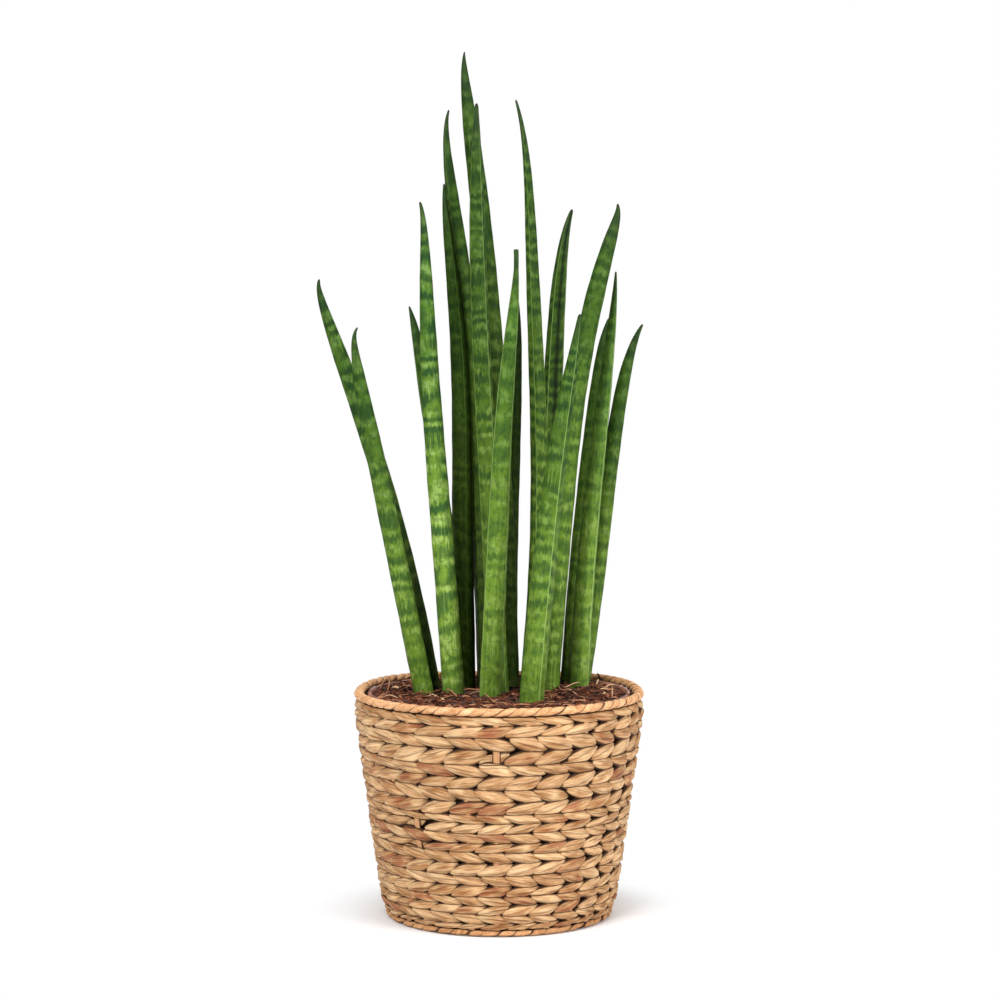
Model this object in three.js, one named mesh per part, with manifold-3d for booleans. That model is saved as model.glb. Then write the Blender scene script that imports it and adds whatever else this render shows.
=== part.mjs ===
// Potted mikado snake plant: cylindrical upright leaves in compost, in a thin nursery pot that stands
// in a round woven basket. Millimetres, +Z up, front at -Y. The origin is the centre of the basket's
// flat underside.

import * as THREE from 'three';
import { mergeVertices } from 'three/addons/utils/BufferGeometryUtils.js';
import Module from 'manifold-3d';

const wasm = await Module();
wasm.setup();

// Driving dimensions

const GAP = 0.3; // left between neighbouring pieces that touch

const BASKET = {
  top: 143.9, // height of the wall, on which the rim cord lies
  lift: 4.7, // sets how far the wall rises at the back left and back right
  liftPower: 4, // above 1, the lift stays near the top
  foot: 4.8, // height of the step round the floor, in which the foot border lies
  radius: 77.7, // outer radius of the straight side, carried down to the ground
  flare: 0.139, // growth of that radius for each millimetre of height
  footCurl: 2.4, // how far the lowest row draws in
  footReach: 4, // height over which it does
  topCurl: 3, // how far the highest row draws in under the rim cord
  topReach: 5,
  innerRadius: 70.4, // inner radius of the wall at the ground
  innerFlare: 0.13,
  floorRadius: 71.2, // of the flat underside
  floorThickness: 5,
};

const WEAVE = {
  // Heights of the rows from the lowest to the highest, fitted to the wall's own height.
  rowHeights: [
    4.1, 5.8, 6.2, 6.3, 6.8, 6.8, 8, 7.5, 5.6, 6.6,
    6.5, 6, 8, 8.3, 8.7, 7.5, 9, 8.5, 7.3, 5.6,
  ],
  strands: 29, // in each row
  turn: 0.27, // how far the rows are turned about the axis, in strands
  bulge: 2.8, // how far a strand stands out of the valleys round it
  slant: 0.8, // how far a row leans from its lower to its upper edge, in strands
  between: 0.42, // height of the hollow between two strands of a row, as a share of bulge
  seam: 0.12, // height of the line between two rows, as a share of bulge
};

// cord is half the width of a wound ring, and flat its height as a share of that width.
const RIM = { centre: 92.8, cord: 3.7, flat: 0.81, sides: 6, wraps: 73, wrapTurns: 2, groove: 0.16 };
const FOOT = { centre: 73.7, cord: 2.1, flat: 1, sides: 5, wraps: 45, wrapTurns: 1, groove: 0.14 };

const POT = {
  lipRadius: 87,
  lipHeight: 148.2, // height of the lip's top above the ground
  lipDepth: 8,
  lipStep: 1.1, // how far the lip stands out of the wall below it
  floorRadius: 66,
  wall: 1.2,
  segments: 40,
  drainHoles: 6,
  drainSides: 12,
  drainRadius: 4,
  drainCircle: 42, // radius on which the holes lie
};

const SOIL = {
  edge: 146.6, // height at the pot's wall
  middle: 146.3, // height round the leaves
  middleRadius: 70, // where the one height goes over into the other
  middleSoftness: 4, // the smaller, the more suddenly
  rings: 6,
  lump: 0.6, // height of a lump
  lumpWaves: [[0.31, 0.11], [-0.07, 0.27], [0.53, -0.61]], // along X and Y, in radians for a millimetre
  fibres: 24,
  fibreRadius: 0.7,
  fibreRise: 1.6, // how far a fibre's middle lies above its ends, in fibre radii
  fibreLength: [9, 20],
  fibreBow: 2.2,
  fibreClearance: 2, // least distance from a fibre to a leaf, beside its bow
  fibreReach: 78, // no fibre lies further from the axis
  seed: 1789,
};

const LEAF = {
  ground: 145, // height from which the leaves' own heights and leans are taken
  root: 18, // length below that height, straight down in its hole
  sides: 10,
  steps: 14,
  tipCrowding: 1.5, // above 1, the steps crowd towards the tip
  hookPower: 14, // a hook bends the last fifth of a leaf alone
  curlPower: 60, // a curl bends the last twentieth alone
  grooveDepth: 0.2, // as a share of the radius
  grooveWidth: 0.55, // radians
};

// One row for each leaf, from the leftmost tip to the rightmost. foot is where it stands, top is the
// height of its tip, and lean is how far the tip lies from the foot. bend holds four amounts along X:
// the belly at half the leaf's length, a slight S, the hook below the tip and the curl at the tip. girth
// holds the diameter low down, the share of the length over which the tip narrows and the tip's own
// radius, and groove is the compass direction of the channel, in degrees from +X towards +Y.
const LEAVES = [
  {
    foot: [-45, 18], top: 422, lean: [-82.5, 22], groove: 20,
    bend: [9, 0, 4.2, 2.2], girth: [13.6, 0.14, 0.8],
  },
  {
    foot: [-49.5, -2], top: 389, lean: [-49, -18], groove: 60,
    bend: [0.6, 0, 3.4, 3.2], girth: [13, 0.16, 0.9],
  },
  {
    foot: [-35, 32], top: 404, lean: [-23, 18], groove: 100,
    bend: [8, 3, -3, 0], girth: [9.5, 0.08, 0.7],
  },
  {
    foot: [-30, 2], top: 471, lean: [-18, -8], groove: 75,
    bend: [-3, 1, -2.6, -1.2], girth: [14.8, 0.22, 1.3],
  },
  {
    foot: [-23, 24], top: 485, lean: [-17, 2], groove: 80,
    bend: [6, -2, 3, 0.4], girth: [14, 0.22, 1.4],
  },
  {
    foot: [-8.5, 31], top: 535, lean: [-35, 7], groove: 195,
    bend: [11.2, -1.5, 8.3, 1.6], girth: [12.8, 0.16, 1.2],
  },
  {
    foot: [7, 34], top: 575, lean: [-34, 16], groove: 110,
    bend: [7.4, -0.5, 2.3, 1.4], girth: [13.5, 0.09, 0.7],
  },
  {
    foot: [0, 6], top: 537, lean: [-15, 8], groove: 25,
    bend: [-2.5, 1, 0.2, 0], girth: [13.2, 0.16, 1.4],
  },
  {
    foot: [19.5, 4], top: 538, lean: [-1, -2], groove: 345,
    bend: [6.5, 2, -7.5, 0], girth: [13, 0.3, 1],
  },
  {
    foot: [-6, -16], top: 439, lean: [21, -18], groove: 165,
    bend: [-3.5, 1, -4, 0], girth: [14.7, 0.26, 1.8],
  },
  {
    foot: [7.5, 56], top: 409, lean: [4, 16], groove: 90,
    bend: [-1, -0.5, 1, 0], girth: [11, 0.08, 1],
  },
  {
    foot: [32, 46], top: 470, lean: [12, 16], groove: 270,
    bend: [-2.5, 0.5, 5.5, 0.4], girth: [13.8, 0.14, 1.5],
  },
  {
    foot: [21.5, -40], top: 397, lean: [31.5, -18], groove: 30,
    bend: [-4, 0.5, -1.5, 0], girth: [17.2, 0.26, 1.5],
  },
  {
    foot: [54, 32], top: 427, lean: [26.5, 4], groove: 30,
    bend: [-3, -0.5, -2, 0], girth: [13.7, 0.28, 1],
  },
  {
    foot: [47, 55], top: 396, lean: [27, 7], groove: 90,
    bend: [-3, 0, 1, 0], girth: [10, 0.06, 0.6],
  },
  {
    foot: [33.5, 18], top: 471, lean: [47, -4], groove: 40,
    bend: [-10.2, 2, 1.2, -3.2], girth: [13.3, 0.08, 0.7],
  },
  {
    foot: [56.2, 45.5], top: 392, lean: [36, 24], groove: 60,
    bend: [-1.5, 1, 6, 0.4], girth: [11.2, 0.12, 1.1],
  },
];

// Finishes

function finish(colour, roughness) {
  return new THREE.MeshStandardMaterial({ color: colour, roughness, metalness: 0 });
}

const strawFinish = () => finish(0xcda069, 0.8);
const cordFinish = () => finish(0xe2ba84, 0.75);
const plasticFinish = () => finish(0x96695f, 0.5);
const compostFinish = () => finish(0x46281f, 0.95);

function leafFinish(index) {
  const green = new THREE.Color(0x4f8a33);
  green.offsetHSL(0, 0, 0.03 * Math.sin(index * 2.4));
  return finish(green, 0.45);
}

// Solids: joining and cutting closed meshes

function toSolid(geometry) {
  const bare = geometry.clone();
  bare.deleteAttribute('normal');
  bare.deleteAttribute('uv');
  const merged = mergeVertices(bare, 1e-4);
  return new wasm.Manifold(new wasm.Mesh({
    numProp: 3,
    vertProperties: new Float32Array(merged.attributes.position.array),
    triVerts: new Uint32Array(merged.index.array),
  }));
}

function toGeometry(solid) {
  const mesh = solid.getMesh();
  const geometry = new THREE.BufferGeometry();
  geometry.setAttribute('position', new THREE.BufferAttribute(mesh.vertProperties, 3));
  geometry.setIndex(new THREE.BufferAttribute(mesh.triVerts, 1));
  geometry.computeVertexNormals();
  return geometry;
}

function largestPiece(solid) {
  const pieces = solid.decompose();
  return pieces.reduce((best, piece) => (piece.volume() > best.volume() ? piece : best));
}

// Shapes

// Moves every vertex of a geometry to move(vertex, index).
function reshape(geometry, move) {
  const position = geometry.attributes.position;
  const vertex = new THREE.Vector3();
  for (let i = 0; i < position.count; i += 1) {
    const moved = move(vertex.fromBufferAttribute(position, i), i);
    position.setXYZ(i, moved.x, moved.y, moved.z);
  }
  geometry.computeVertexNormals();
  return geometry;
}

// Turns a profile of [radius, height] about Z. place(column, point) may give a vertex another radius
// or height and a turn about Z.
function revolve(profile, columns, place = () => ({})) {
  const points = profile.map(([radius, height]) => new THREE.Vector2(radius, height));
  const lathe = new THREE.LatheGeometry(points, columns);
  return reshape(lathe, (vertex, i) => {
    const column = Math.floor(i / points.length) % columns;
    const point = i % points.length;
    const { radius = points[point].x, height = points[point].y, turn = 0 } = place(column, point);
    const angle = (column / columns) * 2 * Math.PI + turn;
    return vertex.set(radius * Math.cos(angle), radius * Math.sin(angle), height);
  });
}

// A ring of cord with its winding as raised bands. The bands run round the cord as a screw does, and
// move on by wrapTurns bands in one turn round it. height gives the cord's height at an angle.
function woundRing({ centre, cord, flat, sides, wraps, wrapTurns, groove }, height) {
  const columns = 2 * wraps;
  const torus = new THREE.TorusGeometry(centre, cord, sides, columns);
  return reshape(torus, (vertex, i) => {
    const side = Math.floor(i / (columns + 1));
    const column = i % (columns + 1);
    const screw = (side / sides) * wrapTurns * 2;
    const angle = ((column + screw) / columns) * 2 * Math.PI;
    const around = (side / sides) * 2 * Math.PI;
    const thick = column % 2 === 0 ? cord : cord * (1 - groove);
    const radius = centre + thick * Math.cos(around);
    const up = height(angle) + flat * thick * Math.sin(around);
    return vertex.set(radius * Math.cos(angle), radius * Math.sin(angle), up);
  });
}

// Basket

// The radius that the strands' crests reach at a height.
function basketRadius(height) {
  const straight = BASKET.radius + BASKET.flare * height;
  const foot = BASKET.footCurl * Math.exp((BASKET.foot - height) / BASKET.footReach);
  const shoulder = BASKET.topCurl * Math.exp((height - BASKET.top) / BASKET.topReach);
  return straight - foot - shoulder;
}

// The wall isn't quite level: it rises a little at the back left and the back right.
function basketLift(angle, height) {
  const atTop = BASKET.lift * Math.max(0, Math.sin(angle)) * Math.cos(angle) ** 2;
  return atTop * (height / BASKET.top) ** BASKET.liftPower;
}

function basketInnerRadius(height) {
  return BASKET.innerRadius + BASKET.innerFlare * height;
}

// The heights of the seams between the rows, and of the middles of the rows.
function weaveHeights() {
  const sum = WEAVE.rowHeights.reduce((total, row) => total + row, 0);
  const fit = (BASKET.top - BASKET.foot) / sum;
  const heights = [BASKET.foot];
  for (const row of WEAVE.rowHeights) {
    const seam = heights[heights.length - 1];
    heights.push(seam + (fit * row) / 2, seam + fit * row);
  }
  return heights;
}

// The woven wall has two rings of vertices to a row and two columns to a strand. Rows lean left and
// right in turn, so that the strands make chevrons.
function basketGeometry() {
  const outside = weaveHeights().map((height) => [basketRadius(height) - WEAVE.bulge, height]);
  const rings = outside.length - 1;
  const profile = [
    [0, 0],
    [BASKET.floorRadius, 0],
    [BASKET.floorRadius, BASKET.foot],
    ...outside,
    [basketInnerRadius(BASKET.top), BASKET.top],
    [basketInnerRadius(BASKET.floorThickness), BASKET.floorThickness],
    [0, BASKET.floorThickness],
  ];
  const firstRing = 3;
  const columns = 2 * WEAVE.strands;
  return revolve(profile, columns, (column, point) => {
    const [radius, height] = profile[point];
    const ring = point - firstRing;
    const woven = ring >= 0 && ring <= rings;
    const onStrand = column % 2 === 0;
    const crest = onStrand ? 1 : WEAVE.between;
    const valley = onStrand ? WEAVE.seam : 0;
    const share = ring % 2 === 1 ? crest : valley;
    const lean = Math.abs(((ring + 2) % 4) - 2) / 2;
    const turn = ((WEAVE.turn + (woven ? WEAVE.slant * lean : 0)) * 2 * Math.PI) / WEAVE.strands;
    const angle = (column / columns) * 2 * Math.PI + turn;
    return {
      radius: woven ? radius + WEAVE.bulge * share : radius,
      height: height + basketLift(angle, height),
      turn,
    };
  });
}

function rimGeometry() {
  const wallTop = (angle) => BASKET.top + basketLift(angle, BASKET.top);
  return woundRing(RIM, (angle) => wallTop(angle) + GAP + RIM.flat * RIM.cord);
}

function footGeometry() {
  return woundRing(FOOT, () => FOOT.flat * FOOT.cord + GAP);
}

// Nursery pot

const potFloor = BASKET.floorThickness + GAP;

// The outer radius of the pot's wall, below its lip.
function potRadius(height) {
  const rise = (height - potFloor) / (POT.lipHeight - potFloor);
  return POT.floorRadius + (POT.lipRadius - POT.lipStep - POT.floorRadius) * rise;
}

function potGeometry() {
  const lipFoot = POT.lipHeight - POT.lipDepth;
  const insideFloor = potFloor + POT.wall;
  const shell = revolve([
    [0, potFloor],
    [POT.floorRadius, potFloor],
    [potRadius(lipFoot), lipFoot],
    [POT.lipRadius, lipFoot],
    [POT.lipRadius, POT.lipHeight],
    [potRadius(POT.lipHeight) - POT.wall, POT.lipHeight],
    [potRadius(insideFloor) - POT.wall, insideFloor],
    [0, insideFloor],
  ], POT.segments);
  let solid = toSolid(shell);
  for (let hole = 0; hole < POT.drainHoles; hole += 1) {
    const angle = (hole / POT.drainHoles) * 2 * Math.PI;
    const { drainRadius, drainSides } = POT;
    const drill = new THREE.CylinderGeometry(drainRadius, drainRadius, 4 * POT.wall, drainSides);
    drill.rotateX(Math.PI / 2);
    drill.translate(POT.drainCircle * Math.cos(angle), POT.drainCircle * Math.sin(angle), potFloor);
    solid = solid.subtract(toSolid(drill));
  }
  return toGeometry(solid);
}

// Leaves

// The centre of a leaf at a share of its height: 0 at the ground, 1 at the tip, and below 0 in its hole.
function leafCentre(leaf, share) {
  const up = Math.max(share, 0);
  const [belly, sway, hook, curl] = leaf.bend;
  const x = leaf.foot[0] + leaf.lean[0] * up + belly * 4 * up * (1 - up)
    + sway * Math.sin(2 * Math.PI * up) + hook * up ** LEAF.hookPower + curl * up ** LEAF.curlPower;
  const y = leaf.foot[1] + leaf.lean[1] * up;
  return new THREE.Vector3(x, y, LEAF.ground + (leaf.top - LEAF.ground) * share);
}

function leafRadius(leaf, share) {
  const [width, taper, tip] = leaf.girth;
  const narrowing = 1 - Math.exp((share - 1) / taper);
  return tip + (width / 2 - tip) * narrowing;
}

// The directions square to the leaf: sideways, and towards the back.
function leafFrame(leaf, share) {
  const near = 0.01;
  const along = leafCentre(leaf, Math.min(share + near, 1));
  along.sub(leafCentre(leaf, Math.min(share + near, 1) - 2 * near)).normalize();
  const side = new THREE.Vector3(0, 1, 0).cross(along).normalize();
  return { side, back: along.clone().cross(side) };
}

// A rod of unit radius is bent along the leaf, narrowed to its tip and hollowed along its channel.
// swell makes it thicker all round, for the hole that it stands in.
function leafGeometry(leaf, swell = 0) {
  const lowest = -(LEAF.root + swell) / (leaf.top - LEAF.ground);
  const rod = new THREE.CylinderGeometry(1, 1, 1, LEAF.sides, LEAF.steps);
  rod.rotateX(Math.PI / 2);
  const groove = THREE.MathUtils.degToRad(leaf.groove);
  return reshape(rod, (vertex) => {
    const climb = 1 - (0.5 - vertex.z) ** LEAF.tipCrowding;
    const share = lowest + (1 - lowest) * climb;
    const out = Math.hypot(vertex.x, vertex.y);
    const offGroove = Math.atan2(vertex.y, vertex.x);
    const angle = offGroove + groove;
    const hollow = LEAF.grooveDepth * Math.exp(-((offGroove / LEAF.grooveWidth) ** 2));
    const radius = out * (leafRadius(leaf, share) * (1 - hollow) + swell);
    const { side, back } = leafFrame(leaf, share);
    return leafCentre(leaf, share)
      .addScaledVector(side, radius * Math.cos(angle))
      .addScaledVector(back, radius * Math.sin(angle));
  });
}

// Compost

function randomFrom(seed) {
  let state = seed;
  return () => {
    state = (state * 16807) % 2147483647;
    return state / 2147483647;
  };
}

// The compost's surface: almost level, with small lumps that die out at the pot's wall.
function soilHeight(x, y) {
  const radius = Math.hypot(x, y);
  const inside = 1 / (1 + Math.exp((radius - SOIL.middleRadius) / SOIL.middleSoftness));
  const lumps = SOIL.lumpWaves.reduce((sum, wave) => sum + Math.sin(wave[0] * x + wave[1] * y), 0);
  return SOIL.edge + (SOIL.middle - SOIL.edge + SOIL.lump * lumps) * inside;
}

function soilBody() {
  const bottom = potFloor + POT.wall + GAP;
  const inset = POT.wall + 2 * GAP;
  const outer = potRadius(SOIL.edge) - inset;
  const profile = [[0, bottom], [potRadius(bottom) - inset, bottom]];
  for (let ring = 0; ring <= SOIL.rings; ring += 1) {
    profile.push([outer * (1 - ring / SOIL.rings), SOIL.edge]);
  }
  return revolve(profile, POT.segments, (column, point) => {
    if (point < 2) return {};
    const angle = (column / POT.segments) * 2 * Math.PI;
    const radius = profile[point][0];
    return { height: soilHeight(radius * Math.cos(angle), radius * Math.sin(angle)) };
  });
}

// A coir fibre: a thin bent rod with both ends in the compost and its middle just proud of it.
function fibreGeometry(x, y, heading, length, bow) {
  const rod = new THREE.CylinderGeometry(SOIL.fibreRadius, SOIL.fibreRadius, length, 3, 2);
  rod.rotateZ(Math.PI / 2);
  return reshape(rod, (vertex) => {
    const share = (2 * vertex.x) / length;
    const belly = 1 - share * share;
    vertex.y += bow * belly;
    vertex.applyAxisAngle(new THREE.Vector3(0, 0, 1), heading);
    vertex.x += x;
    vertex.y += y;
    vertex.z += soilHeight(vertex.x, vertex.y) + SOIL.fibreRadius * (SOIL.fibreRise * belly - 1);
    return vertex;
  });
}

function clearOfLeaves(x, y, margin) {
  return LEAVES.every(({ foot, girth }) => Math.hypot(x - foot[0], y - foot[1]) > girth[0] / 2 + margin);
}

function scatteredFibres() {
  const random = randomFrom(SOIL.seed);
  const [shortest, longest] = SOIL.fibreLength;
  const fibres = [];
  while (fibres.length < SOIL.fibres) {
    const radius = SOIL.fibreReach * Math.sqrt(random());
    const around = 2 * Math.PI * random();
    const heading = Math.PI * random();
    const length = shortest + (longest - shortest) * random();
    const bow = SOIL.fibreBow * (2 * random() - 1);
    const x = radius * Math.cos(around);
    const y = radius * Math.sin(around);
    const half = length / 2;
    const ends = [-1, -0.5, 0, 0.5, 1].map((k) => [
      x + k * half * Math.cos(heading),
      y + k * half * Math.sin(heading),
    ]);
    const lies = ends.every(([ex, ey]) => (
      clearOfLeaves(ex, ey, SOIL.fibreBow + SOIL.fibreClearance) && Math.hypot(ex, ey) < SOIL.fibreReach
    ));
    if (lies) fibres.push(fibreGeometry(x, y, heading, length, bow));
  }
  return fibres;
}

function soilGeometry() {
  let solid = toSolid(soilBody());
  for (const fibre of scatteredFibres()) solid = solid.add(toSolid(fibre));
  for (const leaf of LEAVES) solid = solid.subtract(toSolid(leafGeometry(leaf, GAP)));
  return toGeometry(largestPiece(solid));
}

// The plant in its pot in its basket

function piece(name, geometry, material) {
  const mesh = new THREE.Mesh(geometry, material);
  mesh.name = name;
  return mesh;
}

function basket() {
  const group = new THREE.Group();
  group.add(piece('basket', basketGeometry(), strawFinish()));
  group.add(piece('basket_rim', rimGeometry(), cordFinish()));
  group.add(piece('basket_foot', footGeometry(), strawFinish()));
  return group;
}

function pottedPlant() {
  const group = new THREE.Group();
  group.add(piece('nursery_pot', potGeometry(), plasticFinish()));
  group.add(piece('soil', soilGeometry(), compostFinish()));
  LEAVES.forEach((leaf, index) => {
    const name = `leaf_${String(index + 1).padStart(2, '0')}`;
    group.add(piece(name, leafGeometry(leaf), leafFinish(index)));
  });
  return group;
}

const group = new THREE.Group();
group.add(basket(), pottedPlant());

export default group;
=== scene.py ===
"""The finished look of a potted mikado snake plant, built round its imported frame.

Metres throughout. +Z is up, the front is at -Y, and the origin is the centre of the basket's flat
underside. Every piece stands where its CAD node stands and rides on the one body, root.
"""

import logging
import math
from dataclasses import dataclass, replace
from enum import Enum
from typing import Any, Callable, Iterable, Optional, Union

import bpy
import numpy as np
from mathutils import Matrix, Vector


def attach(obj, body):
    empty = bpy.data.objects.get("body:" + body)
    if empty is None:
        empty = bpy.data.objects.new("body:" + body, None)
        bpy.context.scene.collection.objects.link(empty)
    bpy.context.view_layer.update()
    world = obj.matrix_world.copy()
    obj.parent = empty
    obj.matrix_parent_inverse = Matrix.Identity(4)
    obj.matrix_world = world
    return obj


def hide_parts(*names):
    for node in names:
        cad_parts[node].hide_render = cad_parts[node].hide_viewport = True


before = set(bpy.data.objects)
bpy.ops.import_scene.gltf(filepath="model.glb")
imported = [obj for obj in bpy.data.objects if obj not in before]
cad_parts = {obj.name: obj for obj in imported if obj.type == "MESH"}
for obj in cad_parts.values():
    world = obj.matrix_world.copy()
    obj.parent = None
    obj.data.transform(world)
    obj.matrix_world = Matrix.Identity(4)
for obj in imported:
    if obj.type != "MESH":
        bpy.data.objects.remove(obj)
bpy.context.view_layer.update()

LOG = logging.getLogger("snake_plant")
BODY = "root"
TURN = 2 * math.pi

Colour = tuple[float, float, float, float]
Point = tuple[float, float, float]
Number = Union[float, "Value"]
# A finish's colour, roughness and height.
Surface = tuple["Value", Number, "Value"]


def display_colour(red: float, green: float, blue: float) -> Colour:
    """Turns a colour as a screen shows it into the linear one that a shader takes.

    Args:
        red: Red level, 0 to 255.
        green: Green level, 0 to 255.
        blue: Blue level, 0 to 255.

    Returns:
        The linear colour, opaque.
    """
    # The screen's standard curve: a straight toe, then a power.
    toe, slope, offset, power = 0.04045, 12.92, 0.055, 2.4
    shares = [level / 255 for level in (red, green, blue)]
    linear = [
        share / slope if share <= toe else ((share + offset) / (1 + offset)) ** power for share in shares
    ]
    return (*linear, 1.0)


def picked(part: Any, *names: str) -> dict[str, Any]:
    """The named fields of a part, by name."""
    return {name: getattr(part, name) for name in names}


class Value:
    """One output of a node tree, which takes part in ordinary arithmetic."""

    def __init__(self, pen: "TreePen", socket: bpy.types.NodeSocket) -> None:
        """Wraps a socket.

        Args:
            pen: The pen that writes the socket's tree.
            socket: The output that holds the value.
        """
        self.pen = pen
        self.socket = socket

    def __add__(self, other: Number) -> "Value":
        """The sum."""
        return self.pen.math("ADD", self, other)

    def __radd__(self, other: Number) -> "Value":
        """The sum, with the number first."""
        return self.pen.math("ADD", other, self)

    def __sub__(self, other: Number) -> "Value":
        """The difference."""
        return self.pen.math("SUBTRACT", self, other)

    def __rsub__(self, other: Number) -> "Value":
        """The difference, with the number first."""
        return self.pen.math("SUBTRACT", other, self)

    def __mul__(self, other: Number) -> "Value":
        """The product."""
        return self.pen.math("MULTIPLY", self, other)

    def __rmul__(self, other: Number) -> "Value":
        """The product, with the number first."""
        return self.pen.math("MULTIPLY", other, self)

    def __truediv__(self, other: Number) -> "Value":
        """The quotient."""
        return self.pen.math("DIVIDE", self, other)

    def __rtruediv__(self, other: Number) -> "Value":
        """The quotient, with the number first."""
        return self.pen.math("DIVIDE", other, self)

    def __pow__(self, other: Number) -> "Value":
        """The power."""
        return self.pen.math("POWER", self, other)

    def __neg__(self) -> "Value":
        """The value with its sign turned."""
        return self.pen.math("MULTIPLY", self, -1.0)


class TreePen:
    """Writes nodes and links into one tree, of a material, a group or Geometry Nodes."""

    def __init__(self, tree: bpy.types.NodeTree) -> None:
        """Takes up a tree.

        Args:
            tree: The tree to write in.
        """
        self.tree = tree

    def node(self, kind: str, **settings: Any) -> bpy.types.Node:
        """Adds a node.

        Args:
            kind: The node's type name.
            settings: Properties to set on it.

        Returns:
            The new node.
        """
        made = self.tree.nodes.new(kind)
        for name, value in settings.items():
            setattr(made, name, value)
        return made

    def feed(self, socket: bpy.types.NodeSocket, value: Any) -> None:
        """Links a value to a socket, or sets a plain one on it.

        Args:
            socket: The input to feed.
            value: A Value, or what the socket holds by itself.
        """
        if isinstance(value, Value):
            self.tree.links.new(value.socket, socket)
        else:
            socket.default_value = value

    def run(self, kind: str, inputs: dict[Any, Any], output: Any = 0, **settings: Any) -> Value:
        """Adds a node, feeds its inputs and hands back one output.

        Args:
            kind: The node's type name.
            inputs: Values by the input's name or number.
            output: The wanted output's name or number.
            settings: Properties to set on the node.

        Returns:
            The output's value.
        """
        made = self.node(kind, **settings)
        for name, value in inputs.items():
            self.feed(made.inputs[name], value)
        return Value(self, made.outputs[output])

    def math(self, operation: str, *terms: Number) -> Value:
        """Adds a Math node.

        Args:
            operation: The node's operation.
            terms: Its one to three inputs.

        Returns:
            The result.
        """
        return self.run("ShaderNodeMath", dict(enumerate(terms)), operation=operation)

    def vector(self, x: Number, y: Number, z: Number) -> Value:
        """A vector of three values."""
        return self.run("ShaderNodeCombineXYZ", {0: x, 1: y, 2: z})

    def split(self, vector: Value) -> tuple[Value, Value, Value]:
        """The three values of a vector.

        Args:
            vector: The vector.

        Returns:
            X, Y and Z.
        """
        made = self.node("ShaderNodeSeparateXYZ")
        self.feed(made.inputs[0], vector)
        return tuple(Value(self, socket) for socket in made.outputs)

    def scaled(self, vector: Value, factors: Point) -> Value:
        """A vector stretched along each axis by its own factor."""
        return self.run("ShaderNodeVectorMath", {0: vector, 1: factors}, operation="MULTIPLY")

    def moved(self, vector: Value, offset: Union[Value, Point]) -> Value:
        """A vector with an offset added."""
        return self.run("ShaderNodeVectorMath", {0: vector, 1: offset}, operation="ADD")

    def ramp(self, value: Value, low: Number, high: Number) -> Value:
        """A smooth rise from 0 to 1 as a value goes from low to high."""
        inputs = {0: value, 1: low, 2: high}
        return self.run("ShaderNodeMapRange", inputs, interpolation_type="SMOOTHSTEP")

    def span(self, value: Value, low: Number, high: Number) -> Value:
        """A value from 0 to 1 carried over to the span from low to high."""
        return self.run("ShaderNodeMapRange", {0: value, 3: low, 4: high})

    def noise(self, vector: Value, scale: float, detail: float = 2.0, rough: float = 0.5) -> Value:
        """Soft noise from about 0.25 to 0.75.

        Args:
            vector: Where it is read.
            scale: How many lumps there are in a unit.
            detail: How many finer layers it has.
            rough: How much they count.

        Returns:
            The noise.
        """
        inputs = {"Vector": vector, "Scale": scale, "Detail": detail, "Roughness": rough}
        return self.run("ShaderNodeTexNoise", inputs)

    def blend(self, share: Number, first: Any, second: Any, mode: str = "MIX") -> Value:
        """Two colours mixed.

        Args:
            share: How much of the second there is.
            first: The colour at 0.
            second: The colour at 1.
            mode: How they mix.

        Returns:
            The colour.
        """
        inputs = {0: share, 6: first, 7: second}
        return self.run("ShaderNodeMix", inputs, 2, data_type="RGBA", blend_type=mode)

    def attribute(self, name: str, vector: bool = False) -> Value:
        """An attribute of the piece, for a shader.

        Args:
            name: The attribute's name.
            vector: Whether it holds a vector.

        Returns:
            The attribute's value.
        """
        output = "Vector" if vector else "Fac"
        return self.run("ShaderNodeAttribute", {}, output, attribute_name=name)

    def on_piece(self) -> Value:
        """Where each point of the surface lies, in object coordinates."""
        return self.run("ShaderNodeTexCoord", {}, "Object")


class SocketKind(Enum):
    """The kinds of input and output that the groups here have."""

    NUMBER = "NodeSocketFloat"
    WHOLE = "NodeSocketInt"
    VECTOR = "NodeSocketVector"
    COLOUR = "NodeSocketColor"
    GEOMETRY = "NodeSocketGeometry"


class GroupPen(TreePen):
    """Writes a node group with named inputs and outputs."""

    def __init__(self, name: str, tree_type: str) -> None:
        """Starts an empty group.

        Args:
            name: The group's name.
            tree_type: Its type of tree.
        """
        super().__init__(bpy.data.node_groups.new(name, tree_type))
        self.entry = self.node("NodeGroupInput")
        self.exit = self.node("NodeGroupOutput")

    def takes(self, kind: SocketKind, *names: str) -> list[Value]:
        """Adds named inputs of one kind.

        Args:
            kind: What they hold.
            names: Their names.

        Returns:
            Their values inside the group.
        """
        for name in names:
            self.tree.interface.new_socket(name, in_out="INPUT", socket_type=kind.value)
        return [Value(self, self.entry.outputs[name]) for name in names]

    def gives(self, kind: SocketKind, **values: Value) -> None:
        """Adds named outputs of one kind and feeds them.

        Args:
            kind: What they hold.
            values: What they are fed, by name.
        """
        for name, value in values.items():
            self.tree.interface.new_socket(name, in_out="OUTPUT", socket_type=kind.value)
            self.feed(self.exit.inputs[name], value)


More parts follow.
